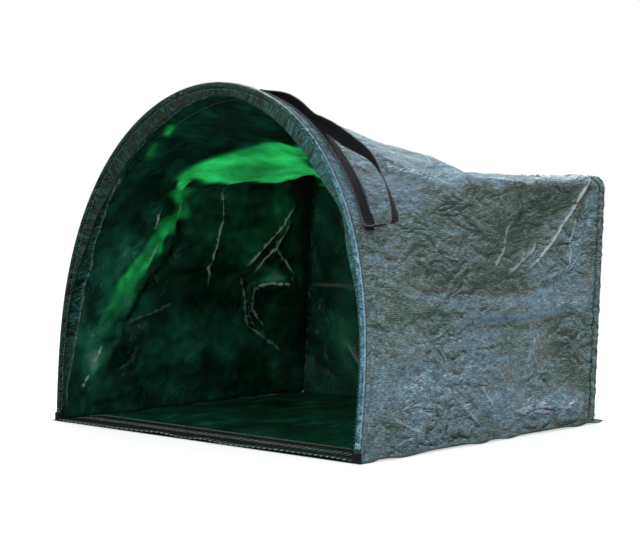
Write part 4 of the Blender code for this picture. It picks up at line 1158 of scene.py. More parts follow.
class LEAFBAG_OT_floor(bpy.types.Operator):
    """Make the floor sheet with its wavy seam allowance, and the coarse lip across the mouth"""

    bl_idname = "leaf_bag.floor"
    bl_label = "Floor and lip"

    SPACING = 0.006
    FLAT_WIDTH = 0.726
    MIDDLE_HEIGHT = 0.00075
    WAVY_EDGE = 0.012
    REAR_HEIGHT = 0.0018
    REAR_WAVE = (1, 0.024, 1, 0.05)
    CREASES = ((0.110, 0.0060, 1.0, 0.4, 31), (0.045, 0.0030, 1.0, -0.3, 33))
    CREASE_LIFT = 0.003
    MOST_CREASE = 0.010
    LIP_GRID = (230, 26)
    LIP_HEIGHT = 0.0028
    LIP_WAVE = (1, 0.031, 2, 0.07)
    LIP_THICKNESS = 0.0014
    LIP_COARSENESS = 0.0017

    def floor(self):
        columns, rows = int(self.FLAT_WIDTH / self.SPACING), int(BASE_DEPTH / self.SPACING)
        across, t = np.meshgrid(np.linspace(-1.0, 1.0, columns), np.linspace(0.0, 1.0, rows))
        front, rear = HOOP_SPAN / 2 + SLEEVE_RADIUS + SEAM_ALLOWANCE, BACK_WIDTH / 2 + SEAM_ALLOWANCE
        half = front + (rear - front) * t
        y = -BASE_DEPTH / 2 + BASE_DEPTH * t
        x = across * half
        z = np.full(x.shape, self.MIDDLE_HEIGHT)
        for side in (-1.0, 1.0):
            rise, reach = seam_wave(y, side)
            near = smooth((side * x - half + self.WAVY_EDGE) / self.WAVY_EDGE)
            z += rise * near
            x = x + side * reach * near
        behind = smooth((t - 0.983) / 0.017)
        z += behind * self.REAR_HEIGHT * (1 + ripple(x, *self.REAR_WAVE))
        inside = smooth((half - 0.03 - np.abs(x)) / 0.05) * smooth((t - 0.14) / 0.08) * smooth((0.95 - t) / 0.08)
        z += inside * np.clip(crumple(x, y, self.CREASES) + self.CREASE_LIFT, 0.0, self.MOST_CREASE)
        points = np.stack([x, y, z], axis=-1)
        points, uv = facing(grid_out(points), UP, points, np.stack([x, y], axis=-1))
        tint = 0.24 + 0.14 * slope_noise(uv[..., 0], uv[..., 1], 0.080, 81)
        tint = tint + 0.10 * slope_noise(uv[..., 0], uv[..., 1], 0.025, 83)
        floor = add_cloth("floor_sheet", points, uv, cloth_settings().thickness, [finish("inside"), finish("outside")],
                          {"tint": (tint, 0 * tint + 0.2)})
        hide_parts("base_panel")
        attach(floor, "bag")

    def lip(self):
        """The strip across the mouth: a wavy front edge, and a rear one that is sewn over the floor."""
        lo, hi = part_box("lip_strip")
        columns, rows = self.LIP_GRID
        x, y = np.meshgrid(np.linspace(lo.x, hi.x, columns), np.linspace(lo.y - 0.001, hi.y, rows))
        share = (y - lo.y) / (hi.y - lo.y)
        z = self.LIP_HEIGHT + 0.0012 * (1 + ripple(x, *self.LIP_WAVE)) * smooth(1 - share / 0.35)
        z += LIP_REAR_RISE * smooth(share) * smooth((hi.x - np.abs(x)) / LIP_REAR_TAPER)
        z += 0.0004 * np.sin(x / self.LIP_COARSENESS) * np.sin(y / self.LIP_COARSENESS)
        y = y - 0.002 * np.sin(x / 0.05) * (1 - share)
        points = np.stack([x, y, z], axis=-1)
        points, = facing(grid_out(points), UP, points)
        lip = add_cloth("scraping_lip", points, points[..., :2].copy(), self.LIP_THICKNESS, [finish("coarse")])
        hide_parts("lip_strip")
        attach(lip, "bag")

    def execute(self, context):
        self.floor()
        self.lip()
        return {"FINISHED"}


class LEAFBAG_OT_back(bpy.types.Operator):
    """Make the back sheet and the puckered tape over its seam"""

    bl_idname = "leaf_bag.back"
    bl_label = "Back and its seam"

    SPACING = 0.0052
    OVERLAP = 0.0012
    LOWEST = 0.0008
    BULGE = 0.010
    # Folds of the back sheet in millimetres, with places as (x, height) in metres
    FOLDS = (
        (-5, 5, 6, 0.15, ((-0.345, 0.211), (-0.280, 0.214), (-0.234, 0.210), (-0.150, 0.218))),
        (-6, 7, 7, 0.3, ((-0.239, 0.108), (-0.212, 0.075), (-0.180, 0.050))),
        (5, 9, 9, 0.0, ((-0.330, 0.120), (-0.270, 0.140), (-0.200, 0.130))),
        (6, 12, 12, 0.0, ((-0.300, 0.390), (-0.180, 0.250), (-0.120, 0.120))),
        (-6, 12, 12, 0.0, ((0.310, 0.395), (0.200, 0.270), (0.120, 0.150))),
        (5, 10, 10, 0.0, ((0.320, 0.080), (0.150, 0.110), (0.000, 0.090), (-0.120, 0.100))),
        (-5, 10, 10, 0.0, ((0.060, 0.400), (0.030, 0.300), (0.060, 0.180))),
        (4, 9, 9, 0.0, ((0.330, 0.220), (0.230, 0.200), (0.150, 0.230))),
    )
    CRUMPLES = ((0.110, 0.0036, 1.3, 1.2, 41), (0.050, 0.0020, 1.2, 0.3, 43))
    TAPE_ENDS = (0.004, 0.996)
    TAPE_COLUMNS = 520
    TAPE_REACH = 0.012
    TAPE_THICKNESS = 0.0006
    RUFFLE = (0.0016, 0.0028, 2.2, 0.011)
    # Its stitches: distance inwards from the outline on the sheet and on the back, and height over both
    SEWN_ON_SHEET = (0.0085, 0.0030)
    SEWN_ON_BACK = (0.0075, 0.0040)
    # Rows of the tape on the back: distance outwards from the outline, and behind the back
    TAPE_ROWS = ((0.0016, 0.0012), (0.0012, 0.0034), (-0.004, 0.0034), (-0.008, 0.0032), (-0.0115, 0.0028))
    TAPE_ROW_SPACING = 0.0027

    def folds(self, x, height):
        """How far the folds stand out behind the back, and how far each place is whitened, partly as stress whitening
        and partly as painted highlights.
        """
        out, white = np.zeros(x.shape), np.zeros(x.shape)
        for crest, left, right, whitening, path in self.FOLDS:
            gap, side, share = path_distance(x, height, np.array(path))
            width = np.where(side > 0, left, right) * MM
            taper = smooth(share / 0.25) * smooth((1 - share) / 0.3)
            out += crest * MM * taper * np.exp(-((gap / width) ** 1.4))
            white = np.maximum(white, whitening * taper * np.exp(-((gap / 0.0026) ** 2)))
        return out + crumple(x, height, self.CRUMPLES), white

    def back(self):
        half = BACK_WIDTH / 2 + self.OVERLAP
        radius = BACK_CORNER_RADIUS
        columns, rows = int(2 * half / self.SPACING), int(BACK_HEIGHT / self.SPACING)
        s, t = np.meshgrid(np.linspace(-1.0, 1.0, columns), np.linspace(0.0, 1.0, rows))
        x = s * half
        corner = np.clip(np.abs(x) - (half - radius), 0.0, radius)
        top = BACK_HEIGHT + 0.0010 - radius + np.sqrt(np.maximum(radius**2 - corner**2, 0.0))
        height = self.LOWEST + (top - self.LOWEST) * t
        out, white = self.folds(x, height)
        out += self.BULGE * (1 - s**2) * np.sin(math.pi * t)
        edge = smooth((1 - np.abs(s)) / 0.06) * smooth(t / 0.05) * smooth((1 - t) / 0.07)
        points = back_place(x, height, 0.00035 + out * edge)
        uv = np.stack([height, x], axis=-1)
        points, uv, x, height, white = facing(grid_out(points), BACKWARDS, points, uv, x, height, white)
        # Painted glow along the top of the back, where light is let through, fading towards the right
        lit = smooth((height - 0.408 + 0.07 * np.clip(x + 0.345, 0.0, 0.3)) / 0.004)
        thin = 0.88 * lit * smooth((0.28 - x) / 0.2)
        # Inner side: a random tone, a lighter patch low on the left, and painted shade along both side edges
        shade = 0.18 + 0.12 * slope_noise(x, height, 0.060, 77) + 0.06 * slope_noise(x, height, 0.025, 79)
        shade = shade + 0.22 * np.exp(-(((x + 0.26) / 0.06) ** 2)) * smooth((0.17 - height) / 0.03)
        shade = np.clip(shade - 0.25 * smooth((np.abs(x) - 0.335) / 0.010), 0.0, 1.0)
        rear = 0.27 + 0.10 * slope_noise(x / 2.2, height, 0.110, 85) + 0.08 * slope_noise(x / 2.0, height, 0.040, 87)
        marks = {"crease": (0 * white, white), "thin": (OUTER_PAINTED_GLOW * thin, thin), "tint": (rear, shade)}
        back = add_cloth("back_sheet", points, uv, cloth_settings().thickness, [finish("outside"), finish("inside")],
                         marks)
        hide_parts("back_panel")
        fold_with_hoop(back)

    def tape(self):
        """The tape folded over the seam, and the two runs that its stitches follow."""
        around = np.linspace(*self.TAPE_ENDS, self.TAPE_COLUMNS)
        x = around * AROUND_LENGTH
        ruffle = ripple(x, *self.RUFFLE) + 0.0010 * np.sin(x / 0.0075)
        rows_of_points = []
        for i, share in enumerate(np.linspace(1.0 - self.TAPE_REACH / DEEP_LENGTH, 1.0, 5)):
            lift = 0.0011 + (0.0008 + np.abs(ruffle)) * (0.3 + 0.35 * (i % 2))
            rows_of_points.append(wrap_skin(around, np.full(around.shape, share), lift))
        outline = along(BACK_OUTLINE, around)
        run = unit(np.gradient(outline, axis=0))
        square = np.stack([-run[:, 1], run[:, 0]], axis=-1)
        for i, (off, behind) in enumerate(self.TAPE_ROWS):
            place = outline + square * (off + 0.35 * ruffle[:, None] * (i < 2))
            rows_of_points.append(back_place(place[:, 0], place[:, 1], behind + 0.4 * np.abs(ruffle)))
        points = np.stack(rows_of_points)
        uv = flat_grid(x, np.arange(len(points)) * self.TAPE_ROW_SPACING)
        points, uv = facing(grid_out(points)[2], wrap_out(around, np.full(around.shape, 0.99)), points, uv)
        tape = add_cloth("back_seam_tape", points, uv, self.TAPE_THICKNESS, [finish("outside"), finish("inside")])
        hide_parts("back_binding")
        fold_with_hoop(tape)
        inward, lift = self.SEWN_ON_SHEET
        on_sheet = wrap_skin(around, np.full(around.shape, 1.0 - inward / DEEP_LENGTH), lift + 0.4 * np.abs(ruffle))
        inward, lift = self.SEWN_ON_BACK
        place = outline - square * inward
        return [on_sheet, back_place(place[:, 0], place[:, 1], lift + 0.4 * np.abs(ruffle))]

    def execute(self, context):
        self.back()
        thread = add_stitches("back_seam_stitches", self.tape(), pitch=0.0062, length=0.0042, thread=0.0011)
        fold_with_hoop(thread)
        return {"FINISHED"}


class LEAFBAG_OT_hoop(bpy.types.Operator):
    """Make the sleeve with its hem, the hem's inner layer and the stitches, and finish the rod and its caps"""

    bl_idname = "leaf_bag.hoop"
    bl_label = "Hoop and sleeve"

    # Length of the rod inside a pocket, where it has no sleeve
    IN_POCKET = 0.0146
    PUCKER = (0.0008, 0.0031, 2, 0.014)
    SAG = (0.0022, 0.027, 1.3, 0.061)
    HEM_START_SHARE = 0.12
    HEM_PEAK_SHARE = 0.66
    HEM_AT_FEET = 0.002
    HEM_DEEPER = 0.024
    HEM_LESS_AT_CROWN = 0.014
    # Where the hem is shallower on the right: share that it loses, then middle and width as shares of the way up
    RIGHT_DIP = (0.62, 0.50, 0.085)
    HEM_LEAN = math.radians(12.0)
    HEM_ROWS = 8
    HEM_WIDTH = 0.036
    LAYER_THICKNESS = 0.0006
    # The hem's root under the rod, as a share of the sleeve's radius, and half the distance between its two layers
    SEAM_AT = 0.98
    LAYERS_APART = 0.0005
    EDGES_FURTHER = 0.0004
    SEAM_HALF_ANGLE = 0.17
    SLEEVE_COLUMNS = 420
    HEM_COLUMNS = 430
    HEM_ENDS = (0.014, 0.986)
    ROUND_ROWS = 26
    ROW_SPACING = 0.0022
    SEWN_DEPTH = 0.0072
    FREE_EDGE_WAVE = (0.0020, 0.019, 2, 0.043)
    HEM_STITCHES_BACK = 0.026

    def hem_depth(self, distance):
        """How far the sleeve's hem hangs inward: little at the feet, most above half way, and less at the crown."""
        share = 1.0 - np.abs(distance) / HALF_LENGTH
        climb = np.clip((share - self.HEM_START_SHARE) / (self.HEM_PEAK_SHARE - self.HEM_START_SHARE), 0.0, 1.0)
        fall = np.clip((share - self.HEM_PEAK_SHARE) / (1.0 - self.HEM_PEAK_SHARE), 0.0, 1.0)
        rising = self.HEM_AT_FEET + self.HEM_DEEPER * (1 - np.cos(math.pi * climb)) / 2
        less, middle, width = self.RIGHT_DIP
        rising *= 1 - less * (distance > 0) * np.exp(-(((share - middle) / width) ** 2))
        return rising - self.HEM_LESS_AT_CROWN * (1 - np.cos(math.pi * fall)) / 2

    def sleeve_section(self, distance, wave):
        """The sleeve's profile as rows of (inward, aside): up the hem's front, round the rod and down its rear."""
        depth = SLEEVE_RADIUS + self.hem_depth(distance)
        sag = ripple(distance, *self.SAG)
        layers = {}
        for layer in (-1, 1):
            layers[layer] = []
            for share in np.linspace(0.0, 1.0, self.HEM_ROWS):
                down = SLEEVE_RADIUS * self.SEAM_AT + (depth - SLEEVE_RADIUS) * share
                parted = self.LAYERS_APART + self.EDGES_FURTHER * share
                aside = layer * parted + (wave * (1 - share) + sag * share * 0.8)
                layers[layer].append((down, aside))
        tube = []
        turns = np.linspace(-self.SEAM_HALF_ANGLE, self.SEAM_HALF_ANGLE - 2 * math.pi, self.ROUND_ROWS)
        for angle in turns[1:-1]:
            swell = SLEEVE_RADIUS - self.LAYER_THICKNESS / 2 + 0.25 * wave * (math.cos(angle) + 1)
            tube.append((swell * math.cos(angle), swell * math.sin(angle)))
        return layers[-1][::-1] + tube + layers[1]

    def sleeve(self):
        """The sleeve over the rod, and the run that its stitches follow."""
        reach = HALF_LENGTH - self.IN_POCKET
        distance = np.linspace(-reach, reach, self.SLEEVE_COLUMNS)
        x, rise, turn = hoop_at(distance)
        wave = ripple(distance, *self.PUCKER)
        points = []
        for down, aside in self.sleeve_section(distance, wave):
            inward = down * math.cos(self.HEM_LEAN) - aside * math.sin(self.HEM_LEAN)
            back = down * math.sin(self.HEM_LEAN) + aside * math.cos(self.HEM_LEAN)
            points.append(hoop_place(x - inward * np.sin(turn), rise - inward * np.cos(turn), back))
        points = np.stack(points)
        uv = flat_grid(distance, np.arange(len(points)) * self.ROW_SPACING)
        middle = len(points) // 2
        points, uv = facing(grid_out(points)[middle], points[middle] - hoop_place(x, rise), points, uv)
        out = grid_out(points)
        from_middle = np.abs(uv[..., 1] - uv[..., 1].mean())
        # Painted shade and light: darker on the left, paler to the right and where it faces up, palest on the right
        # leg's tube
        tint = 0.05 + 0.24 * smooth((points[..., 0] + 0.02) / 0.30) + 0.06 * np.maximum(out[..., 2], 0.0)
        tint += 0.05 * slope_noise(uv[..., 0], uv[..., 1], 0.030, 71)
        tint += 0.22 * smooth((points[..., 0] - 0.20) / 0.12) * (from_middle < 0.016)
        # A painted highlight along the tube's outermost line, stronger to the right
        painted_edge_highlight = (from_middle < 0.0015) * (0.5 + 0.5 * smooth((points[..., 0] + 0.2) / 0.3))
        marks = {"tint": (tint, tint), "crease": (0.45 * painted_edge_highlight, 0 * tint)}
        sleeve = add_cloth("hoop_sleeve_cloth", points, uv, self.LAYER_THICKNESS, [finish("sleeve")], marks)
        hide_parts("hoop_sleeve")
        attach(sleeve, "hoop")
        inward = self.SEWN_DEPTH
        return hoop_place(x - inward * np.sin(turn), rise - inward * np.cos(turn), 0.0005 + wave - 0.0013)

    def hem(self):
        """The hem's inner layer on the sheet, and the run that its stitches follow."""
        around = np.linspace(*self.HEM_ENDS, self.HEM_COLUMNS)
        x = around * AROUND_LENGTH
        up = np.minimum(around, 1 - around) * AROUND_LENGTH
        width = np.minimum(self.HEM_WIDTH, 0.009 + up * HEM_SPLIT * 0.75) / DEEP_LENGTH
        free = ripple(x, *self.FREE_EDGE_WAVE)
        shares = np.linspace(0.0, 1.0, 9)
        rows = []
        for share in shares:
            deep = 0.002 + width * share + free * share**2 / DEEP_LENGTH
            pull = 0.0012 + 0.0010 * share**3 * (1 + np.sin(x / 0.0052))
            rows.append(wrap_skin(around, deep, -pull))
        points = np.stack(rows)
        uv = flat_grid(x, shares * self.HEM_WIDTH)
        points, uv = facing(grid_out(points)[4], -wrap_out(around, np.full(around.shape, 0.03)), points, uv)
        tint = 0.19 + 0.09 * slope_noise(uv[..., 0], uv[..., 1], 0.020, 73)
        # Painted highlights on the puckers near the hem's free edge, broken by noise
        pucker_highlight = smooth((uv[..., 1] - 0.030) / 0.006)
        pucker_highlight = pucker_highlight * np.clip(0.3 + slope_noise(uv[..., 0], uv[..., 1], 0.006, 75), 0, 1)
        marks = {"tint": (tint, tint), "crease": (0.5 * pucker_highlight, 0.5 * pucker_highlight)}
        hem = add_cloth("mouth_hem_inside", points, uv, self.LAYER_THICKNESS, [finish("sleeve")], marks)
        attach(hem, "hoop")
        return wrap_skin(around, np.full(around.shape, self.HEM_STITCHES_BACK / DEEP_LENGTH), 0.0008)

    def execute(self, context):
        thread = add_stitches("hoop_stitches", [self.sleeve(), self.hem()], pitch=0.0056, length=0.0036, thread=0.0009)
        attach(thread, "hoop")
        for node, look in (("hoop_rod", "rod"), ("rod_cap_left", "cap"), ("rod_cap_right", "cap")):
            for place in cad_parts[node].material_slots:
                place.material = finish(look)
        return {"FINISHED"}


def strip_places(distance, setback, lift):
    """Points over the smooth sheet: along the hoop, back from its front edge, and lifted off it."""
    x, rise, turn = hoop_at(distance)
    offset = SLEEVE_RADIUS - CLOTH / 2
    here = np.stack([x + offset * np.sin(turn), rise + offset * np.cos(turn)], axis=-1)
    steps = np.linalg.norm(np.diff(FRONT_OUTLINE, axis=0), axis=1)
    reach = np.concatenate([[0.0], np.cumsum(steps)]) / steps.sum()
    nearest = np.argmin(np.linalg.norm(FRONT_OUTLINE[:, None] - here.reshape(-1, 2), axis=-1), axis=0)
    from_crown = np.abs(distance).ravel()
    order = np.argsort(from_crown, kind="stable")
    around = np.interp(from_crown, from_crown[order], reach[nearest][order]).reshape(np.shape(distance))
    deep = setback / DEEP_LENGTH
    return wrap_base(around, deep) + wrap_out(around, deep) * np.asarray(lift)[..., None]


def smooth_chain(points, count):
    """Evenly spaced points on a smooth curve through the given ones."""
    dense = []
    padded = [points[0], *points, points[-1]]
    for a, b, c, d in zip(padded, padded[1:], padded[2:], padded[3:]):
        for t in np.linspace(0.0, 1.0, 40, endpoint=False):
            swing = (c - a) * t + (2 * a - 5 * b + 4 * c - d) * t**2 + (3 * b - a - 3 * c + d) * t**3
            dense.append(b + swing / 2)
    return along(np.array([*dense, points[-1]]), np.linspace(0.0, 1.0, count))


class LEAFBAG_OT_handles(bpy.types.Operator):
    """Make both webbing handles: the strip sewn flat behind the sleeve, the free loop and their stitches"""

    bl_idname = "leaf_bag.handles"
    bl_label = "Handles"

    STRIP_COUNT = 120
    LOOP_COUNT = 150
    ROWS = 9
    STITCH_SHARES = (0.1, 0.9)
    STITCH_LIFT = 0.0009
    STANDING_TWIST = math.radians(52.0)
    FLAT_CUP = 0.0009
    STANDING_CUP = 0.0042

    def strip(self, word, side):
        """The strip on the sheet, and the runs that its stitches follow."""
        lift = CLOTH / 2 + SEWN_GAP + WEBBING_THICKNESS / 2
        distance = side * np.linspace(HANDLE_START, HANDLE_END, self.STRIP_COUNT)

        def row(share, more=0.0):
            return strip_places(distance, HANDLE_SETBACK + WEBBING_WIDTH * share, np.full(len(distance), lift + more))

        shares = np.linspace(0.0, 1.0, self.ROWS)
        points = np.stack([row(share) for share in shares])
        uv = flat_grid(np.abs(distance), shares * WEBBING_WIDTH)
        points, uv = facing(grid_out(points), points - BAG_MIDDLE, points, uv)
        thing = add_cloth(f"handle_{word}_strip", points, uv, WEBBING_THICKNESS, [finish("webbing")])
        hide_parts(f"handle_strip_{word}")
        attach(thing, "hoop")
        return [row(share, self.STITCH_LIFT) for share in self.STITCH_SHARES]

    def loop_lines(self, side, fall):
        """Middle line of the loop, its direction, its half width as arms, and where it stands on its edge."""
        count = self.LOOP_COUNT
        sewn = HANDLE_END - HANDLE_START
        places = [np.array((HANDLE_START + sewn * run, HANDLE_STANDOFF * off)) for run, off in LOOP_PATH_SHARES]
        distance, standoff = smooth_chain(places, count).T
        standoff = np.maximum(standoff, 0.0)
        seat = CLOTH / 2 + SEWN_GAP + WEBBING_THICKNESS + GAP + WEBBING_THICKNESS / 2
        order = np.argsort(distance, kind="stable")
        share = np.arange(count) / count
        # A loop that falls back lies flat, and only one that stands up turns its edge outwards
        stood = smooth(np.arange(count) / (0.14 * count)) * smooth((0.66 - share) / 0.22) * (fall == 0.0)
        standoff = np.maximum(standoff - 0.72 * WEBBING_WIDTH * stood * smooth(standoff / 0.020), 0.0)

        def line(aside):
            setback = HANDLE_SETBACK + WEBBING_WIDTH / 2 + aside + standoff * math.sin(fall)
            points = np.empty((count, 3))
            points[order] = strip_places(
                side * distance[order], setback[order], (seat + standoff * math.cos(fall))[order])
            return points

        middle = line(0.0)
        across = unit(line(WEBBING_WIDTH) - middle)
        run = unit(np.gradient(middle, axis=0))
        freed = np.where(standoff > GAP, np.minimum(1.0, standoff / HANDLE_STANDOFF), 0.0)
        bend = np.sin(math.pi * np.arange(count) / (count - 1)) ** 2
        hanging = smooth((share - 0.50) / 0.16)
        twist = HANDLE_TWIST * bend * (1 + 1.4 * hanging) + self.STANDING_TWIST * stood
        half = np.array([
            Matrix.Rotation(float(angle), 3, Vector(axis)) @ Vector(arm)
            for angle, axis, arm in zip(side * (fall * freed - twist), run, across)
        ]) * (WEBBING_WIDTH / 2)
        return middle, run, half, stood

    def loop(self, word, side):
        middle, run, half, stood = self.loop_lines(side, HANDLE_FALL[word])
        shares = np.linspace(-1.0, 1.0, self.ROWS)
        cup = unit(np.cross(run, half)) * (self.FLAT_CUP + self.STANDING_CUP * stood[:, None])
        points = np.stack([middle + half * share + cup * (1 - abs(share) ** 1.4) for share in shares])
        length = np.concatenate([[0.0], np.cumsum(np.linalg.norm(np.diff(middle, axis=0), axis=1))])
        uv = flat_grid(length, (shares + 1) / 2 * WEBBING_WIDTH)
        points, uv = facing(grid_out(points), points - BAG_MIDDLE, points, uv)
        thing = add_cloth(f"handle_{word}_loop", points, uv, WEBBING_THICKNESS, [finish("webbing")])
        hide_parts(f"handle_loop_{word}")
        sewn = middle[-1] - middle[0]
        chord = (middle[0] + middle[-1]) / 2
        out = middle[len(middle) // 2] - chord
        out = unit(out - sewn * np.dot(out, sewn) / np.dot(sewn, sewn))
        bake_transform(thing)

    def execute(self, context):
        runs = []
        for word, side in (("left", -1.0), ("right", 1.0)):
            runs += self.strip(word, side)
            self.loop(word, side)
        thread = add_stitches("handle_stitches", runs, pitch=0.0046, length=0.0030, thread=0.0008)
        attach(thread, "hoop")
        return {"FINISHED"}


class LEAFBAG_OT_pockets(bpy.types.Operator):
    """Make the two webbing pockets that hold the rod's ends"""

    bl_idname = "leaf_bag.pockets"
    bl_label = "Corner pockets"

    HEIGHTS = (0.0020, 0.0146)
    ROWS = 8
    ROUND_COUNT = 28
    INNER_RADIUS = 0.0058
    WALL = 0.0015
    TAIL_LENGTH = 0.003
    TAIL_COUNT = 4
    THICKNESS = 0.0013
    POINT_SPACING = 0.0008
    CENTRE_HEIGHT = 0.008

    def execute(self, context):
        turn = np.linspace(math.pi, 2 * math.pi, self.ROUND_COUNT)
        radius = self.INNER_RADIUS + self.WALL / 2
        tails = np.linspace(self.TAIL_LENGTH, 0.0, self.TAIL_COUNT, endpoint=False)
        heights = np.linspace(*self.HEIGHTS, self.ROWS)
        for word, side in (("left", -1.0), ("right", 1.0)):
            x = side * HOOP_SPAN / 2 + radius * np.cos(turn)
            y = HOOP_Y + radius * np.sin(turn)
            x = np.concatenate([np.full(self.TAIL_COUNT, x[0]), x, np.full(self.TAIL_COUNT, x[-1])])
            y = np.concatenate([HOOP_Y + tails, y, HOOP_Y + tails[::-1]])
            points = np.stack([np.stack([x, y, np.full(x.shape, z)], axis=-1) for z in heights])
            uv = flat_grid(np.arange(len(x)) * self.POINT_SPACING, heights)
            centre = np.array((side * HOOP_SPAN / 2, HOOP_Y, self.CENTRE_HEIGHT))
            points, uv = facing(grid_out(points), points - centre, points, uv)
            thing = add_cloth(f"pocket_{word}", points, uv, self.THICKNESS, [finish("webbing")])
            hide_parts(f"corner_pocket_{word}")
            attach(thing, "bag")
        return {"FINISHED"}


class LEAFBAG_OT_floor_stitches(bpy.types.Operator):
    """Make the stitches along the floor's seams and along the lip's rear edge"""

    bl_idname = "leaf_bag.floor_stitches"
    bl_label = "Floor stitches"

    COUNT = 200
    SEAM_ENDS = (-0.300, 0.295)
    SEAM_HEIGHT = 0.0036
    OUT_FROM_WALL = 0.0055
    LIP_ENDS = (-0.338, 0.338)
    LIP_HEIGHT = 0.0037
    LIP_HALF = 0.3415
    LIP_ROWS = (-0.2495, -0.2530)

    def execute(self, context):
        y = np.linspace(*self.SEAM_ENDS, self.COUNT)
        share = (y + BASE_DEPTH / 2) / BASE_DEPTH
        half = HOOP_SPAN / 2 + SLEEVE_RADIUS + (BACK_WIDTH / 2 - HOOP_SPAN / 2 - SLEEVE_RADIUS) * share
        seams = []
        for side in (-1.0, 1.0):
            rise = seam_wave(y, side)[0]
            seams.append(np.stack([side * (half + self.OUT_FROM_WALL), y, self.SEAM_HEIGHT + rise * 0.6], axis=-1))
        x = np.linspace(*self.LIP_ENDS, self.COUNT)
        height = self.LIP_HEIGHT + LIP_REAR_RISE * smooth((self.LIP_HALF - np.abs(x)) / LIP_REAR_TAPER)
        lip = [np.stack([x, np.full(x.shape, place), height], axis=-1) for place in self.LIP_ROWS]
        for name, runs in (("floor_seam_stitches", seams), ("lip_stitches", lip)):
            thread = add_stitches(name, runs, pitch=0.006, length=0.0040, thread=0.0010)
            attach(thread, "bag")
        return {"FINISHED"}


def pale_material(name, colour, lift):
    """Matt painted floor, a little lighter to the camera so that it joins the background."""
    material, tree = start_material(name)
    place = add(tree, "ShaderNodeTexCoord").outputs["Object"]
    mottle = add(tree, "ShaderNodeTexNoise", {"Vector": place, "Scale": 3.0, "Detail": 2.0})
    tone = add(tree, "ShaderNodeMapRange", {"Value": mottle, "To Min": 0.985, "To Max": 1.0})
    paint = add(tree, "ShaderNodeVectorMath", {0: linear(colour)[:3], "Scale": tone}, operation="SCALE")
    diffuse = add(tree, "ShaderNodeBsdfDiffuse", {"Color": paint})
    glow = add(tree, "ShaderNodeEmission", {"Color": (1.0, 1.0, 1.0, 1.0), "Strength": lift})
    rays = add(tree, "ShaderNodeLightPath")
    seen = add(tree, "ShaderNodeMixShader", {0: rays.outputs["Is Camera Ray"], 2: glow})
    both = add(tree, "ShaderNodeAddShader", {0: diffuse, 1: seen})
    add(tree, "ShaderNodeOutputMaterial", {"Surface": both})
    return material


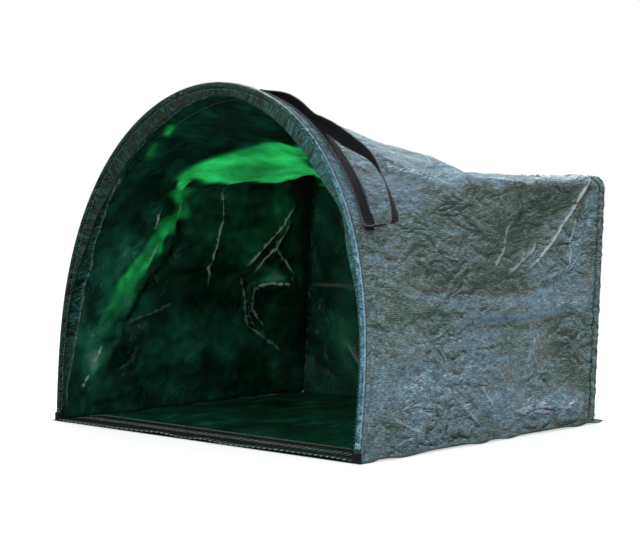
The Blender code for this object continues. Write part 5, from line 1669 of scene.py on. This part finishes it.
class LEAFBAG_OT_stage(bpy.types.Operator):
    """Make the pale floor, the soft studio light and the camera at the photograph's angle"""

    bl_idname = "leaf_bag.stage"
    bl_label = "Stage"

    FLOOR_REACH = 12.0
    FLOOR_LEVEL = -0.0006
    FLOOR_LIFT = 0.56
    AROUND_STRENGTH = 0.55
    # Each lamp's name, place, target and size
    LAMPS = (
        ("key", (-0.9, 0.6, 2.1), (0.0, 0.0, 0.3), 1.1),
        ("fill", (2.4, -1.2, 1.7), (0.1, 0.0, 0.2), 1.4),
        ("mouth", (0.9, -2.3, 1.1), (-0.2, 0.0, 0.2), 0.6),
    )
    CAMERA_PLACE = (2.1192, -2.2761, 0.4154)
    CAMERA_YAW = -0.7546
    CAMERA_PITCH = 0.0513
    CAMERA_LENS = 101.25

    def floor(self, settings):
        mesh = bpy.data.meshes.new("studio_floor")
        turns = ((-1, -1), (1, -1), (1, 1), (-1, 1))
        corners = [(x * self.FLOOR_REACH, y * self.FLOOR_REACH, self.FLOOR_LEVEL) for x, y in turns]
        mesh.from_pydata(corners, [], [(0, 1, 2, 3)])
        paint = pale_material("studio_floor_painted", settings.floor_colour_hex, self.FLOOR_LIFT)
        floor = new_object("studio_floor", mesh, [paint])

    def light_around(self, scene):
        """Soft light from all round, and plain white for the camera and for what the film mirrors."""
        world = bpy.data.worlds.new("studio_light")
        scene.world = world
        world.use_nodes = True
        tree = world.node_tree
        tree.nodes.clear()
        rays = add(tree, "ShaderNodeLightPath").outputs
        direct = add(tree, "ShaderNodeMath", {0: rays["Is Camera Ray"], 1: rays["Is Glossy Ray"]}, operation="MAXIMUM")
        seen = add(tree, "ShaderNodeMath", {0: direct, 1: rays["Is Transmission Ray"]}, operation="MAXIMUM")
        soft = add(tree, "ShaderNodeBackground", {"Color": (0.93, 0.97, 1.0, 1.0), "Strength": self.AROUND_STRENGTH})
        white = add(tree, "ShaderNodeBackground", {"Color": (1.0, 1.0, 1.0, 1.0), "Strength": 1.0})
        mix = add(tree, "ShaderNodeMixShader", {0: seen, 1: soft, 2: white})
        add(tree, "ShaderNodeOutputWorld", {"Surface": mix})

    def lamp(self, name, place, target, size, power):
        light = bpy.data.lights.new(name, "AREA")
        light.shape = "DISK"
        light.size = size
        light.energy = power
        holder = bpy.data.objects.new(name, light)
        holder.location = place
        holder.rotation_euler = (Vector(target) - Vector(place)).to_track_quat("-Z", "Y").to_euler()
        bpy.context.scene.collection.objects.link(holder)

    def camera(self, scene):
        camera = bpy.data.cameras.new("camera")
        camera.sensor_width = 36.0
        camera.lens = self.CAMERA_LENS
        camera.clip_end = 60.0
        holder = bpy.data.objects.new("camera", camera)
        scene.collection.objects.link(holder)
        yaw, pitch = self.CAMERA_YAW, self.CAMERA_PITCH
        ahead = Vector((math.sin(yaw) * math.cos(pitch), math.cos(yaw) * math.cos(pitch), -math.sin(pitch)))
        holder.location = self.CAMERA_PLACE
        holder.rotation_euler = ahead.to_track_quat("-Z", "Y").to_euler()
        scene.camera = holder

    def execute(self, context):
        scene = context.scene
        settings = scene.leaf_bag_stage
        self.floor(settings)
        self.light_around(scene)
        for lamp in self.LAMPS:
            self.lamp(*lamp, getattr(settings, f"{lamp[0]}_power"))
        self.camera(scene)
        scene.view_settings.view_transform = "Standard"
        return {"FINISHED"}


STEPS = (
    LEAFBAG_OT_floor,
    LEAFBAG_OT_sheet,
    LEAFBAG_OT_back,
    LEAFBAG_OT_hoop,
    LEAFBAG_OT_handles,
    LEAFBAG_OT_pockets,
    LEAFBAG_OT_floor_stitches,
    LEAFBAG_OT_stage,
)


class LEAFBAG_PT_panel(bpy.types.Panel):
    """Steps and settings of the leaf bag"""

    bl_idname = "LEAFBAG_PT_panel"
    bl_label = "Leaf bag"
    bl_space_type = "VIEW_3D"
    bl_region_type = "UI"
    bl_category = "Leaf bag"

    def draw(self, context):
        layout = self.layout
        for group in (context.scene.leaf_bag_cloth, context.scene.leaf_bag_stage):
            for name in group.__annotations__:
                layout.prop(group, name)
        for step in STEPS:
            layout.operator(step.bl_idname)


CLASSES = (LeafBagCloth, LeafBagStage, *STEPS, LEAFBAG_PT_panel)


def register():
    for kind in CLASSES:
        bpy.utils.register_class(kind)
    bpy.types.Scene.leaf_bag_cloth = bpy.props.PointerProperty(type=LeafBagCloth)
    bpy.types.Scene.leaf_bag_stage = bpy.props.PointerProperty(type=LeafBagStage)


def unregister():
    del bpy.types.Scene.leaf_bag_stage
    del bpy.types.Scene.leaf_bag_cloth
    for kind in reversed(CLASSES):
        bpy.utils.unregister_class(kind)


def main():
    register()
    for step in STEPS:
        category, name = step.bl_idname.split(".")
        getattr(getattr(bpy.ops, category), name)()


if __name__ == "__main__":
    main()
